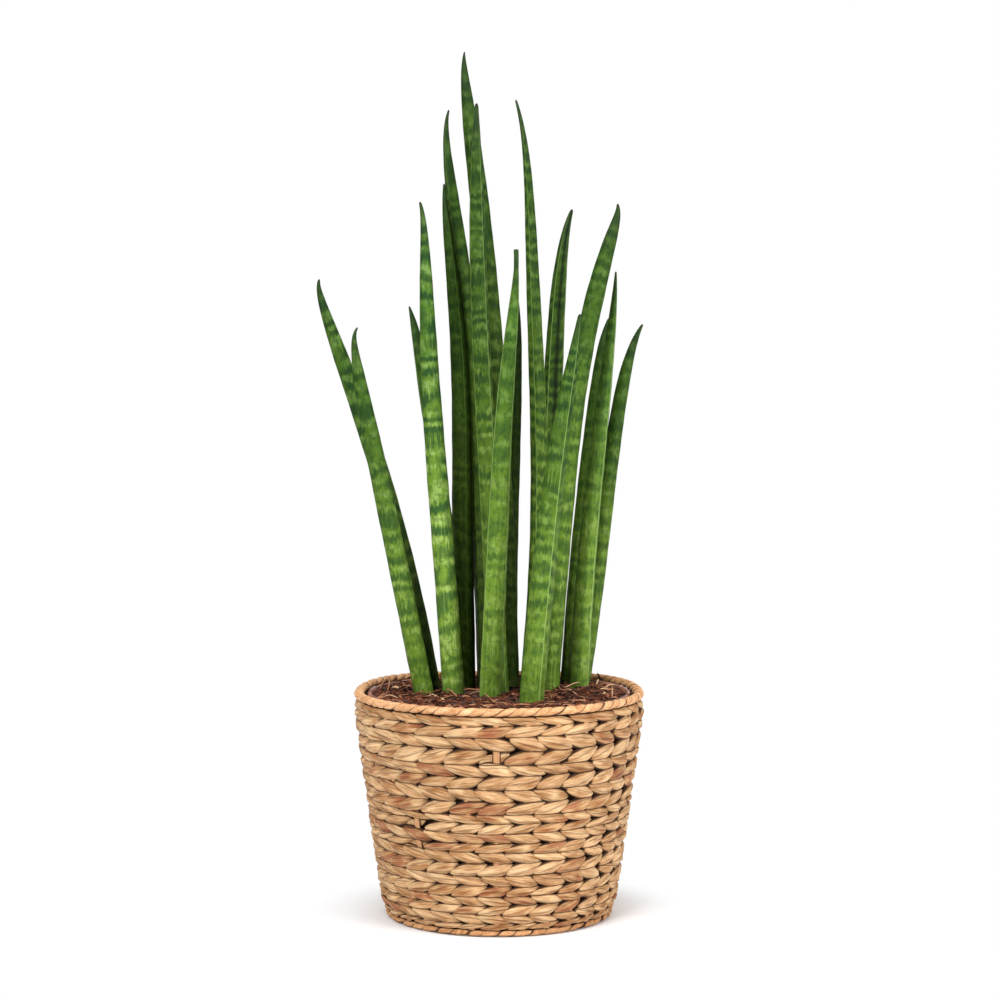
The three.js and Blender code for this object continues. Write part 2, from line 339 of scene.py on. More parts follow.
class GrowthTree(GroupPen):
    """A Geometry Nodes tree that grows one piece from named sizes.

    given holds the size that each input is set to, by the input's identifier.
    """

    def __init__(self, name: str) -> None:
        """Starts the tree with its geometry input.

        Args:
            name: The tree's name.
        """
        super().__init__(name, "GeometryNodeTree")
        (self.base,) = self.takes(SocketKind.GEOMETRY, "Geometry")
        self.given: dict[str, float] = {}

    def sizes(self, part: Any, *names: str) -> list[Value]:
        """Adds a named input for each of a part's sizes.

        Args:
            part: What has the sizes as its fields.
            names: The fields' names.

        Returns:
            The sizes' values inside the tree.
        """
        values: list[Value] = []
        for name, size in picked(part, *names).items():
            kind = SocketKind.WHOLE if isinstance(size, int) else SocketKind.NUMBER
            values += self.takes(kind, name.replace("_", " ").title())
            self.given[values[-1].socket.identifier] = size
        return values

    def keep(self, geometry: Value, name: str, value: Value, vector: bool = False) -> Value:
        """Stores a value on the points under a name.

        Args:
            geometry: What carries it.
            name: The attribute's name.
            value: What is stored.
            vector: Whether it is a vector.

        Returns:
            The geometry with the attribute.
        """
        kind = "FLOAT_VECTOR" if vector else "FLOAT"
        made = self.node("GeometryNodeStoreNamedAttribute", data_type=kind, domain="POINT")
        self.feed(made.inputs["Geometry"], geometry)
        self.feed(made.inputs["Name"], name)
        self.feed(next(s for s in made.inputs if s.name == "Value" and s.enabled), value)
        return Value(self, made.outputs["Geometry"])

    def recall(self, name: str, vector: bool = False) -> Value:
        """Reads a stored value back.

        Args:
            name: The attribute's name.
            vector: Whether it is a vector.

        Returns:
            The value.
        """
        kind = "FLOAT_VECTOR" if vector else "FLOAT"
        made = self.node("GeometryNodeInputNamedAttribute", data_type=kind)
        self.feed(made.inputs["Name"], name)
        return Value(self, next(s for s in made.outputs if s.name == "Attribute" and s.enabled))

    def place(self, geometry: Value, position: Value) -> Value:
        """Moves every point to a position."""
        inputs = {"Geometry": geometry, "Position": position}
        return self.run("GeometryNodeSetPosition", inputs)

    def draw(self, points: Value, seed: int, **spans: tuple[float, float]) -> Value:
        """Stores random numbers on the points, the same in each run.

        Args:
            points: The points.
            seed: The first number's seed, from which the next ones count up.
            spans: The least and the most that each number can be, by name.

        Returns:
            The points with the numbers.
        """
        for later, (name, (low, high)) in enumerate(spans.items()):
            made = self.node("FunctionNodeRandomValue", data_type="FLOAT")
            fed = {"Min": low, "Max": high, "Seed": seed + later}
            for socket in made.inputs:
                if socket.enabled and socket.name in fed:
                    self.feed(socket, fed[socket.name])
            drawn = next(socket for socket in made.outputs if socket.enabled)
            points = self.keep(points, name, Value(self, drawn))
        return points

    def position(self) -> Value:
        """Where each point lies."""
        return self.run("GeometryNodeInputPosition", {})

    def rod(self, sides: int, steps: int, length: float) -> Value:
        """Makes a rod of radius 1 along Z, whose points keep their place in it as local.

        Args:
            sides: How many sides it has.
            steps: How many steps it has from end to end.
            length: How long it is.

        Returns:
            The rod.
        """
        inputs = {"Vertices": sides, "Side Segments": steps, "Radius": 1.0, "Depth": length}
        made = self.run("GeometryNodeMeshCylinder", inputs)
        return self.keep(made, "local", self.position(), vector=True)

    def polar(self, reach: Value, angle: Value, height: Value) -> Value:
        """The place at a distance from Z, an angle from X and a height."""
        return self.vector(reach * self.math("COSINE", angle), reach * self.math("SINE", angle), height)

    def repeat(self, points: Value, shape: Value) -> Value:
        """Puts a shape on every point and makes the copies real."""
        copies = self.run("GeometryNodeInstanceOnPoints", {"Points": points, "Instance": shape})
        return self.run("GeometryNodeRealizeInstances", {0: copies})

    def end(self, geometry: Value, material: bpy.types.Material) -> None:
        """Makes everything real and smooth, sets its material and ends the tree.

        Args:
            geometry: The finished shape.
            material: Its material.
        """
        real = self.run("GeometryNodeRealizeInstances", {0: geometry})
        smooth = self.run("GeometryNodeSetShadeSmooth", {"Geometry": real})
        dressed = self.run("GeometryNodeSetMaterial", {"Geometry": smooth, "Material": material})
        self.gives(SocketKind.GEOMETRY, Geometry=dressed)


def new_object(name: str, mesh: bpy.types.Mesh) -> bpy.types.Object:
    """Puts a mesh in the scene as an object at the origin.

    Args:
        name: The piece's name.
        mesh: Its mesh, in place.

    Returns:
        The object.
    """
    made = bpy.data.objects.new(name, mesh)
    bpy.context.scene.collection.objects.link(made)
    return made


def apply(piece: bpy.types.Object, modifier: bpy.types.Modifier) -> None:
    """Turns a piece's modified shape into its plain mesh.

    Args:
        piece: The piece.
        modifier: Its one modifier, which is then taken off.
    """
    depsgraph = bpy.context.evaluated_depsgraph_get()
    source = piece.evaluated_get(depsgraph)
    mesh = bpy.data.meshes.new_from_object(source, preserve_all_data_layers=True, depsgraph=depsgraph)
    piece.modifiers.remove(modifier)
    piece.data = mesh
    mesh.name = piece.name


def grow(name: str, tree: GrowthTree, base: Optional[bpy.types.Mesh] = None) -> bpy.types.Object:
    """Runs a growth tree and keeps its result as a plain mesh.

    Args:
        name: The piece's name.
        tree: The tree.
        base: What the piece grows on, if anything.

    Returns:
        The finished object, without modifiers.
    """
    made = new_object(name, base or bpy.data.meshes.new(name))
    modifier = made.modifiers.new("growth", "NODES")
    modifier.node_group = tree.tree
    for identifier, size in tree.given.items():
        modifier[identifier] = size
    apply(made, modifier)
    return made


def mesh_of(name: str, points: np.ndarray, faces: Iterable[Iterable[int]]) -> bpy.types.Mesh:
    """Makes a smooth mesh of points and faces.

    Args:
        name: The mesh's name.
        points: One row for each vertex.
        faces: Vertex numbers, round each face.

    Returns:
        The mesh.
    """
    made = bpy.data.meshes.new(name)
    made.from_pydata(points.tolist(), [], [tuple(int(i) for i in face) for face in faces])
    made.polygons.foreach_set("use_smooth", [True] * len(made.polygons))
    made.update()
    return made


def add_attribute(mesh: bpy.types.Mesh, name: str, values: np.ndarray) -> None:
    """Stores a number or a vector for each vertex.

    Args:
        mesh: The mesh.
        name: The attribute's name.
        values: One number, or one row of three, for each vertex.
    """
    flat = values.ndim == 1
    made = mesh.attributes.new(name, "FLOAT" if flat else "FLOAT_VECTOR", "POINT")
    made.data.foreach_set("value" if flat else "vector", values.astype(np.float32).ravel())


def tube_faces(rings: int, sides: int) -> list[tuple[int, ...]]:
    """The faces of a closed tube whose vertices come ring by ring.

    Args:
        rings: How many rings there are.
        sides: How many vertices a ring has.

    Returns:
        The side faces and a face over each end.
    """
    faces: list[tuple[int, ...]] = []
    for ring in range(rings - 1):
        low, high = ring * sides, (ring + 1) * sides
        for side in range(sides):
            after = (side + 1) % sides
            faces.append((low + side, low + after, high + after, high + side))
    faces.append(tuple(reversed(range(sides))))
    faces.append(tuple((rings - 1) * sides + side for side in range(sides)))
    return faces


def revolved(name: str, profile: list[tuple[float, float]], columns: int) -> bpy.types.Mesh:
    """Turns a closed profile about Z.

    Args:
        name: The mesh's name.
        profile: Radius and height of each point, from the axis under the piece, up round its
            outside and back to the axis.
        columns: Steps in one turn.

    Returns:
        The closed mesh.
    """
    ring_points = profile[1:-1]
    angles = np.arange(columns) / columns * TURN
    rows = [
        np.column_stack([radius * np.cos(angles), radius * np.sin(angles), np.full(columns, height)])
        for radius, height in ring_points
    ]
    ends = np.array([[0, 0, profile[0][1]], [0, 0, profile[-1][1]]])
    points = np.vstack(rows + [ends])
    rings = len(ring_points)
    faces = tube_faces(rings, columns)[:-2]
    low_pole, high_pole = rings * columns, rings * columns + 1
    for column in range(columns):
        after = (column + 1) % columns
        faces.append((low_pole, after, column))
        faces.append((high_pole, (rings - 1) * columns + column, (rings - 1) * columns + after))
    return mesh_of(name, points, faces)


def settle(piece: bpy.types.Object, slot: str, *nodes: str) -> None:
    """Puts a finished piece on the body, hides the CAD nodes it stands for, and reports it.

    Args:
        piece: The piece.
        slot: A material slot's name, which is not used.
        nodes: The CAD nodes that it stands for.
    """
    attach(piece, BODY)
    if nodes:
        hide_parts(*nodes)
    triangles = sum(len(face.vertices) - 2 for face in piece.data.polygons)
    LOG.info("%s: %d triangles, stands for %s", piece.name, triangles, ", ".join(nodes) or "no node")


@dataclass(frozen=True)
class Finish:
    """What every finish shares: one material, made when it is first asked for.

    relief_depth is how far the surface's highest points stand above its lowest, in metres.
    """

    name: str
    relief_depth: float
    specular: float = 0.5
    sheen: float = 0.0

    def material(self) -> bpy.types.Material:
        """Makes the finish's material, or finds it.

        Returns:
            The material.
        """
        found = bpy.data.materials.get(self.name)
        if found is not None:
            return found
        made = bpy.data.materials.new(self.name)
        made.use_nodes = True
        pen = TreePen(made.node_tree)
        colour, roughness, height = self.paint(pen)
        relief = {"Height": height, "Distance": self.relief_depth, "Strength": 1.0}
        inputs = {
            "Base Color": colour,
            "Roughness": roughness,
            "Specular IOR Level": self.specular,
            "Sheen Weight": self.sheen,
            "Normal": pen.run("ShaderNodeBump", relief),
        }
        skin = made.node_tree.nodes["Principled BSDF"]
        for name, value in inputs.items():
            pen.feed(skin.inputs[name], value)
        return made

    def paint(self, pen: TreePen) -> Surface:
        """Writes the finish's nodes and hands back its colour, roughness and height."""
        raise NotImplementedError

    def effect(self, pen: TreePen, write: Callable[[GroupPen], None], **inputs: Any) -> Surface:
        """Places a shared effect, whose group is made once and named after what writes it.

        Args:
            pen: Writes in the material's tree.
            write: Writes the group's nodes.
            inputs: What the group's inputs are fed, by name in small letters with _ for a space.

        Returns:
            The effect's colour, roughness and height.
        """
        name = write.__name__.replace("_", " ")
        if name not in bpy.data.node_groups:
            write(GroupPen(name, "ShaderNodeTree"))
        placed = pen.node("ShaderNodeGroup", node_tree=bpy.data.node_groups[name])
        for key, value in inputs.items():
            pen.feed(placed.inputs[key.replace("_", " ").title()], value)
        return tuple(Value(pen, placed.outputs[key]) for key in ("Color", "Roughness", "Height"))


def make_piece(mesh: bpy.types.Mesh, finish: Finish, slot: str, *nodes: str) -> None:
    """Makes a piece of a mesh that bears the piece's name, dresses it and settles it.

    Args:
        mesh: The mesh, in place.
        finish: Its finish.
        slot: A material slot's name, which is passed on but not used.
        nodes: The CAD nodes that it stands for.
    """
    piece = new_object(mesh.name, mesh)
    mesh.materials.append(finish.material())
    settle(piece, slot, *nodes)


def dried_grain(pen: GroupPen) -> None:
    """Writes the lengthwise grain, creases and colour changes of dried flat stems, with painted shade and
    painted highlights.

    Args:
        pen: Writes in the effect's group.
    """
    grain, lane = pen.takes(SocketKind.VECTOR, "Grain", "Lane")
    light, mid, blush, dark = pen.takes(SocketKind.COLOUR, "Light", "Mid", "Blush", "Dark")
    tint, amount, creasing = pen.takes(SocketKind.NUMBER, "Tint", "Blush Share", "Creasing")
    offset = pen.vector(tint * 37.0, tint * 91.0, tint * 53.0)

    def seen(along: float, across: float, detail: float) -> Value:
        """Noise drawn out along the stem, of its own on each strand."""
        return pen.noise(pen.moved(pen.scaled(grain, (along, across, along)), offset), 1.0, detail)

    patches = seen(100.0, 260.0, 2.0)
    folds = seen(50.0, 800.0, 3.0)
    lines = seen(95.0, 1700.0, 3.0)
    run, across, row = pen.split(lane)

    # One crease along each strand, at a place and a slant of its own. Its line and one of its flanks are
    # darkened as painted shade.
    middle = (pen.math("FRACT", tint * 17.3) - 0.5) * 1.2
    slope = (pen.math("FRACT", tint * 29.1) - 0.5) * 0.9
    side = across - middle - slope * run - (folds - 0.5) * 0.6
    fading = 1.0 - pen.ramp(pen.math("ABSOLUTE", run), 0.4, 0.95)
    crease = (1.0 - pen.ramp(pen.math("ABSOLUTE", side), 0.0, 0.16)) * fading * creasing
    flank = pen.ramp(side, -0.35, 0.35) * creasing

    # The stem's own colours, from its ground to its finest lines, with the pale lines of the grain
    # lightened further as a painted highlight.
    toned = pen.blend(pen.ramp(patches + tint * 0.32, 0.38, 0.84), light, mid)
    reach = 1.0 - amount
    reddish = pen.ramp(tint + (patches - 0.5) * 1.1, reach, reach + 0.3)
    flushed = pen.blend(reddish, toned, blush)
    streak = pen.ramp(lines, 0.46, 0.6) * 0.46 + pen.ramp(folds, 0.46, 0.7) * 0.35
    streaked = pen.blend(streak, flushed, mid, "MULTIPLY")
    shine = (1.0 - pen.ramp(lines, 0.36, 0.48)) * 0.35 * (1.0 - reddish)
    streaked = pen.blend(shine, streaked, light)
    crease_shaded = pen.blend(crease * 0.42 + flank * 0.14, streaked, dark)

    # Painted shade on the edges and tips, along the seams and where one strand goes under the next.
    tips = pen.math("ABSOLUTE", run) ** 4.0
    edge = pen.math("MAXIMUM", pen.math("ABSOLUTE", across), tips)
    under = pen.ramp(run, 0.5, 1.0) * 0.6
    beside = pen.math("ABSOLUTE", row) + (folds - 0.5) * 0.16
    seam = pen.ramp(beside, 0.86, 0.99) * (1.0 - pen.ramp(beside, 1.06, 1.2)) * 0.9
    shadow = pen.math("MAXIMUM", pen.ramp(edge, 0.6, 0.82) * 0.97, pen.math("MAXIMUM", seam, under))
    height = folds * 0.5 + lines * 0.2 + flank * 0.3 - crease * 0.35
    pen.gives(SocketKind.COLOUR, Color=pen.blend(shadow, crease_shaded, dark))
    pen.gives(SocketKind.NUMBER, Roughness=pen.span(lines, 0.55, 0.8), Height=height)


@dataclass(frozen=True)
class StrawFinish(Finish):
    """Dried water-hyacinth stems, pale tan with some that flush red-brown."""

    name: str = "straw strands"
    relief_depth: float = 0.0008
    specular: float = 0.15
    sheen: float = 0.03
    light: Colour = display_colour(222, 186, 141)
    mid: Colour = display_colour(182, 139, 94)
    blush: Colour = display_colour(166, 108, 76)
    # dark is the colour of the painted shade in the creases and on the edges and seams.
    dark: Colour = display_colour(58, 34, 20)
    blush_share: float = 0.16
    creasing: float = 1.0

    def paint(self, pen: TreePen) -> Surface:
        """The grain along each stem, in the finish's own colours with its painted shade and highlights.

        Args:
            pen: Writes in the material's tree.

        Returns:
            The colour, the roughness and the height.
        """
        return self.effect(
            pen,
            dried_grain,
            grain=pen.attribute("grain", vector=True),
            lane=pen.attribute("lane", vector=True),
            tint=pen.attribute("tint"),
            **picked(self, "light", "mid", "blush", "dark", "blush_share", "creasing"),
        )


STAKE_STRAW = StrawFinish(
    name="straw stakes",
    light=display_colour(222, 180, 132),
    mid=display_colour(194, 144, 102),
    blush_share=0.0,
    creasing=0.0,
)
RIM_STRAW = replace(
    STAKE_STRAW,
    name="straw cord",
    relief_depth=0.0005,
    light=display_colour(230, 184, 138),
    mid=display_colour(196, 148, 102),
    dark=display_colour(84, 52, 30),
)
# The foot cord is the rim cord's straw made darker, as painted shade low on the basket.
SHADED_FOOT_STRAW = replace(
    RIM_STRAW,
    name="straw foot cord",
    light=display_colour(212, 164, 116),
    mid=display_colour(176, 128, 84),
    dark=display_colour(56, 32, 18),
)


@dataclass(frozen=True)
class ShadedLiningFinish(Finish):
    """The inside of the basket, coloured near black as painted shade, which shows only through the gaps of
    the weave.
    """

    name: str = "straw lining"
    relief_depth: float = 0.0012
    specular: float = 0.02
    light: Colour = display_colour(40, 22, 12)
    dark: Colour = display_colour(14, 7, 4)
    roughness: float = 0.85

    def paint(self, pen: TreePen) -> Surface:
        """Uneven stripes round the wall.

        Args:
            pen: Writes in the material's tree.

        Returns:
            The colour, the roughness and the height.
        """
        stripes = pen.noise(pen.scaled(pen.on_piece(), (1.0, 1.0, 4.0)), 160.0, 4.0)
        colour = pen.blend(pen.ramp(stripes, 0.4, 0.75), self.dark, self.light)
        return colour, self.roughness, stripes


@dataclass(frozen=True)
class PlasticFinish(Finish):
    """Thin moulded plastic, a dull brownish pink."""

    name: str = "pot plastic"
    relief_depth: float = 0.0001
    clean: Colour = display_colour(160, 106, 84)
    dusty: Colour = display_colour(100, 54, 38)

    def paint(self, pen: TreePen) -> Surface:
        """Dust in patches over a fine grain.

        Args:
            pen: Writes in the material's tree.

        Returns:
            The colour, the roughness and the height.
        """
        place = pen.on_piece()
        dust = pen.noise(place, 120.0, 4.0, 0.6)
        fine = pen.noise(place, 1400.0, 2.0)
        colour = pen.blend(pen.ramp(dust, 0.42, 0.68), self.clean, self.dusty)
        return colour, pen.span(dust, 0.35, 0.75), fine


@dataclass(frozen=True)
class CompostFinish(Finish):
    """Dark coir compost."""

    name: str = "compost"
    relief_depth: float = 0.002
    specular: float = 0.03
    dark: Colour = display_colour(15, 7, 5)
    mid: Colour = display_colour(62, 33, 23)
    light: Colour = display_colour(122, 74, 54)
    roughness: float = 0.92

    def paint(self, pen: TreePen) -> Surface:
        """Dark lumps with lighter specks.

        Args:
            pen: Writes in the material's tree.

        Returns:
            The colour, the roughness and the height.
        """
        place = pen.on_piece()
        lumps = pen.noise(place, 260.0, 5.0, 0.65)
        specks = pen.noise(place, 1500.0, 3.0, 0.6)
        base = pen.blend(pen.ramp(lumps, 0.35, 0.65), self.dark, self.mid)
        colour = pen.blend(pen.ramp(specks, 0.58, 0.75), base, self.light)
        return colour, self.roughness, lumps * 0.7 + specks * 0.3


@dataclass(frozen=True)
class FibreFinish(Finish):
    """Coir fibres and crumbs, each of its own tone."""

    name: str = "coir fibres"
    relief_depth: float = 0.0002
    specular: float = 0.1
    dark: Colour = display_colour(34, 16, 11)
    mid: Colour = display_colour(112, 63, 44)
    light: Colour = display_colour(178, 124, 92)
    pale: Colour = display_colour(234, 200, 158)
    roughness: float = 0.7

    def paint(self, pen: TreePen) -> Surface:
        """A tone by each piece's tint, from dark crumbs to blond fibres.

        Args:
            pen: Writes in the material's tree.

        Returns:
            The colour, the roughness and the height.
        """
        tint = pen.attribute("tint")
        grain = pen.noise(pen.on_piece(), 900.0, 3.0)
        base = pen.blend(pen.ramp(tint, 0.0, 0.6), self.dark, self.mid)
        lit = pen.blend(pen.ramp(tint, 0.6, 0.92), base, self.light)
        blond = pen.blend(pen.ramp(tint, 0.93, 1.0), lit, self.pale)
        colour = pen.blend(pen.ramp(grain, 0.5, 0.7) * 0.35, blond, self.dark)
        return colour, self.roughness, grain


def snake_skin(pen: GroupPen) -> None:
    """Writes the banded skin of a mikado leaf, on its straightened coordinates.

    Args:
        pen: Writes in the effect's group.
    """
    (skin,) = pen.takes(SocketKind.VECTOR, "Skin")
    share, channel, seed, spacing, contrast = pen.takes(
        SocketKind.NUMBER, "Share", "Channel", "Seed", "Spacing", "Contrast"
    )
    mottle, margin, valley, gloom, dry_from = pen.takes(
        SocketKind.NUMBER, "Mottle", "Margin", "Valley", "Gloom", "Dry From"
    )
    light, mid, dark, pale = pen.takes(SocketKind.COLOUR, "Light", "Mid", "Dark", "Pale")
    deep, dusk, dry = pen.takes(SocketKind.COLOUR, "Deep", "Dusk", "Dry")
    offset = pen.vector(seed * 3.7, seed * 5.3, seed * 7.9)

    def seen(around: float, along: float, detail: float, rough: float = 0.5) -> Value:
        """Noise drawn out along the leaf, of its own on each leaf."""
        place = pen.moved(pen.scaled(skin, (around, around, along)), offset)
        return pen.noise(place, 1.0, detail, rough)

    streaks = seen(1100.0, 24.0, 3.0)
    teeth = seen(750.0, 70.0, 3.0, 0.6)
    drift = seen(14.0, 34.0, 1.0)
    strength = seen(60.0, 62.0, 1.0)
    patches = seen(230.0, 150.0, 3.0, 0.6)
    fine = seen(330.0, 260.0, 3.0, 0.6)

    # Dark bands with toothed edges, fainter low down, over a mottled ground.
    along = pen.split(skin)[2]
    inner = 1.0 - pen.ramp(channel, 0.92, 1.08)
    phase = (along + (teeth - 0.5) * 0.0105) / spacing + (drift - 0.5) * 3.4 + inner * 0.3 + seed
    wave = pen.math("SINE", phase * TURN)
    band = pen.ramp(wave, -0.4, 0.75) * pen.ramp(strength, 0.32, 0.52)
    foot = pen.ramp(share, 0.02, 0.34)
    bands = band * contrast * (0.45 + 0.55 * foot)
    bright = pen.ramp((patches - 0.5) * 2.6 - wave * 0.4 + (teeth - 0.5) * 0.9, 0.0, 0.75) * mottle
    banded = pen.blend(bands, pen.blend(bright, mid, light), dark)
    streaked = pen.blend(pen.ramp(streaks, 0.5, 0.7) * 0.3, banded, dark)
    streaked = pen.blend(pen.ramp(fine, 0.48, 0.62) * 0.5, streaked, dark)
    scratches = (1.0 - pen.ramp(streaks, 0.32, 0.46)) * 0.28 * (1.0 - share)
    scratched = pen.blend(scratches, streaked, light)

    # Greyer towards the tip, with painted shade in the channel and low down, pale along its margins, dry at
    # the tip.
    risen = pen.blend(pen.ramp(share, 0.25, 0.8) * 0.66, scratched, deep, "MULTIPLY")
    risen = pen.blend(pen.ramp(share, 0.86, 1.0) * 0.75, risen, dusk)
    risen = pen.blend((1.0 - pen.ramp(channel, 0.05, 0.6)) * valley, risen, dusk, "MULTIPLY")
    line = pen.ramp(channel, 0.9, 0.97) * (1.0 - pen.ramp(channel, 1.01, 1.08))
    lined = pen.blend(line * margin, risen, pale)
    dried = pen.ramp(share + (streaks - 0.5) * 0.004, dry_from, dry_from + 0.004)
    tipped = pen.blend(dried, lined, dry)
    # Painted shade low down, on leaves that stand in the shade of others.
    low_shade = (1.0 - pen.ramp(share, 0.2, 0.6)) * gloom
    pen.gives(SocketKind.COLOUR, Color=pen.blend(low_shade, tipped, dusk, "MULTIPLY"))
    pen.gives(
        SocketKind.NUMBER,
        Roughness=pen.span(teeth, 0.4, 0.62) + dried * 0.25,
        Height=streaks * 0.75 + band * 0.25,
    )


@dataclass(frozen=True)
class SkinTone:
    """What makes one leaf's skin differ from the next.

    spacing is from one dark band to the next, in metres. contrast, mottle, margin, valley and gloom
    are how strong the bands, the mottling, the pale margin lines, the painted shade in the channel and
    the painted shade low down are. shade makes the whole leaf lighter or darker, partly as its
    own tone and partly as painted shade on leaves that stand behind others, and dry_from is where its
    dry tip begins, as a share of its height.
    """

    spacing: float
    contrast: float
    mottle: float
    margin: float
    shade: float
    valley: float = 0.0
    gloom: float = 0.0
    dry_from: float = 0.993

    def shaded(self, colour: Colour) -> Colour:
        """A colour made lighter or darker by the leaf's tone and painted shade, and greener as it darkens.

        Args:
            colour: The colour at a shade of 1.

        Returns:
            The leaf's own colour.
        """
        green_power, blue_power = 0.92, 1.25
        red, green, blue = colour[:3]
        return (red * self.shade, green * self.shade**green_power, blue * self.shade**blue_power, 1.0)


# From the leftmost tip to the rightmost.
SKIN_TONES = (
    SkinTone(0.0130, 0.85, 0.65, 0.2, 0.90, 0.0, 0.78),
    SkinTone(0.0120, 0.72, 0.60, 0.2, 0.94),
    SkinTone(0.0120, 0.50, 0.30, 0.4, 0.76),
    SkinTone(0.0150, 0.90, 0.72, 0.3, 1.32),
    SkinTone(0.0140, 0.45, 0.30, 0.3, 0.50, 0.60, 0.35),
    SkinTone(0.0160, 0.65, 0.50, 0.3, 0.72, 0.0, 0.45),
    SkinTone(0.0140, 0.65, 0.60, 0.3, 0.64, 0.0, 0.55),
    SkinTone(0.0110, 0.70, 0.75, 0.4, 0.68),
    SkinTone(0.0100, 0.75, 0.65, 0.3, 0.68),
    SkinTone(0.0150, 0.48, 0.40, 0.35, 1.16, dry_from=0.9985),
    SkinTone(0.0120, 0.40, 0.30, 0.2, 0.28),
    SkinTone(0.0100, 0.75, 0.50, 0.6, 0.70, 0.78, 0.45),
    SkinTone(0.0105, 0.72, 0.40, 0.45, 0.98),
    SkinTone(0.0130, 0.45, 0.40, 0.5, 1.20, 0.35),
    SkinTone(0.0120, 0.45, 0.30, 0.3, 0.72),
    SkinTone(0.0110, 0.58, 0.45, 0.3, 0.87),
    SkinTone(0.0120, 0.60, 0.50, 0.3, 0.92),
)


@dataclass(frozen=True)
class LeafFinish(Finish):
    """The skin of one leaf, numbered from the leftmost tip."""

    relief_depth: float = 0.0003
    specular: float = 0.07
    number: int = 1
    light: Colour = display_colour(144, 168, 86)
    mid: Colour = display_colour(94, 123, 38)
    dark: Colour = display_colour(38, 70, 32)
    deep: Colour = display_colour(114, 155, 156)
    dusk: Colour = display_colour(34, 52, 28)
    dry: Colour = display_colour(42, 38, 26)
    pale: Colour = display_colour(150, 178, 106)

    def paint(self, pen: TreePen) -> Surface:
        """The banded skin, in the leaf's own tones with its painted shade.

        Args:
            pen: Writes in the material's tree.

        Returns:
            The colour, the roughness and the height.
        """
        tone = SKIN_TONES[self.number - 1]
        own = picked(self, "light", "mid", "dark", "pale")
        return self.effect(
            pen,
            snake_skin,
            skin=pen.attribute("skin", vector=True),
            share=pen.attribute("share"),
            channel=pen.attribute("channel"),
            seed=float(self.number),
            **picked(tone, "spacing", "contrast", "mottle", "margin", "valley", "gloom", "dry_from"),
            **{name: tone.shaded(colour) for name, colour in own.items()},
            **picked(self, "deep", "dusk", "dry"),
        )


@dataclass(frozen=True)
class BasketForm:
    """The sizes of the basket's wall, which its strands, cords and lining share."""

    top: float = 0.1439
    foot: float = 0.0048
    radius: float = 0.0777
    flare: float = 0.139
    foot_curl: float = 0.0024
    foot_reach: float = 0.004
    top_curl: float = 0.003
    top_reach: float = 0.005
    lift: float = 0.0047
    lift_power: float = 4.0
    inner_radius: float = 0.0704
    inner_flare: float = 0.13
    floor_radius: float = 0.0712
    floor_thickness: float = 0.005
    strands: int = 29
    phase: float = math.radians(-91.0)
    # From the lowest row to the highest, fitted to the wall's own height.
    row_heights: tuple[float, ...] = (
        4.1, 5.8, 6.2, 6.3, 6.8, 6.8, 8.0, 7.5, 5.6, 6.6, 6.5, 6.0, 8.0, 8.3, 8.7, 7.5, 9.0, 8.5, 7.3, 5.6,
    )

    def crest_radius(self, height: float) -> float:
        """The radius that the strands' crests reach at a height.

        Args:
            height: The height.

        Returns:
            The radius.
        """
        straight = self.radius + self.flare * height
        foot = self.foot_curl * math.exp((self.foot - height) / self.foot_reach)
        shoulder = self.top_curl * math.exp((height - self.top) / self.top_reach)
        return straight - foot - shoulder

    def seams(self) -> np.ndarray:
        """The heights of the seams below, between and above the rows."""
        runs = np.cumsum((0.0, *self.row_heights))
        return self.foot + (self.top - self.foot) * runs / runs[-1]

def back_rise(pen: GrowthTree, lift: Value, angle: Value) -> Value:
    """How far the basket's border rises on either side of its back.

    Args:
        pen: Writes in the piece's tree.
        lift: How much of it there is.
        angle: Where on the wall, from +X.

    Returns:
        The rise, which is nothing along the front.
    """
    behind = pen.math("MAXIMUM", pen.math("SINE", angle), 0.0)
    return lift * behind * pen.math("COSINE", angle) ** 2.0


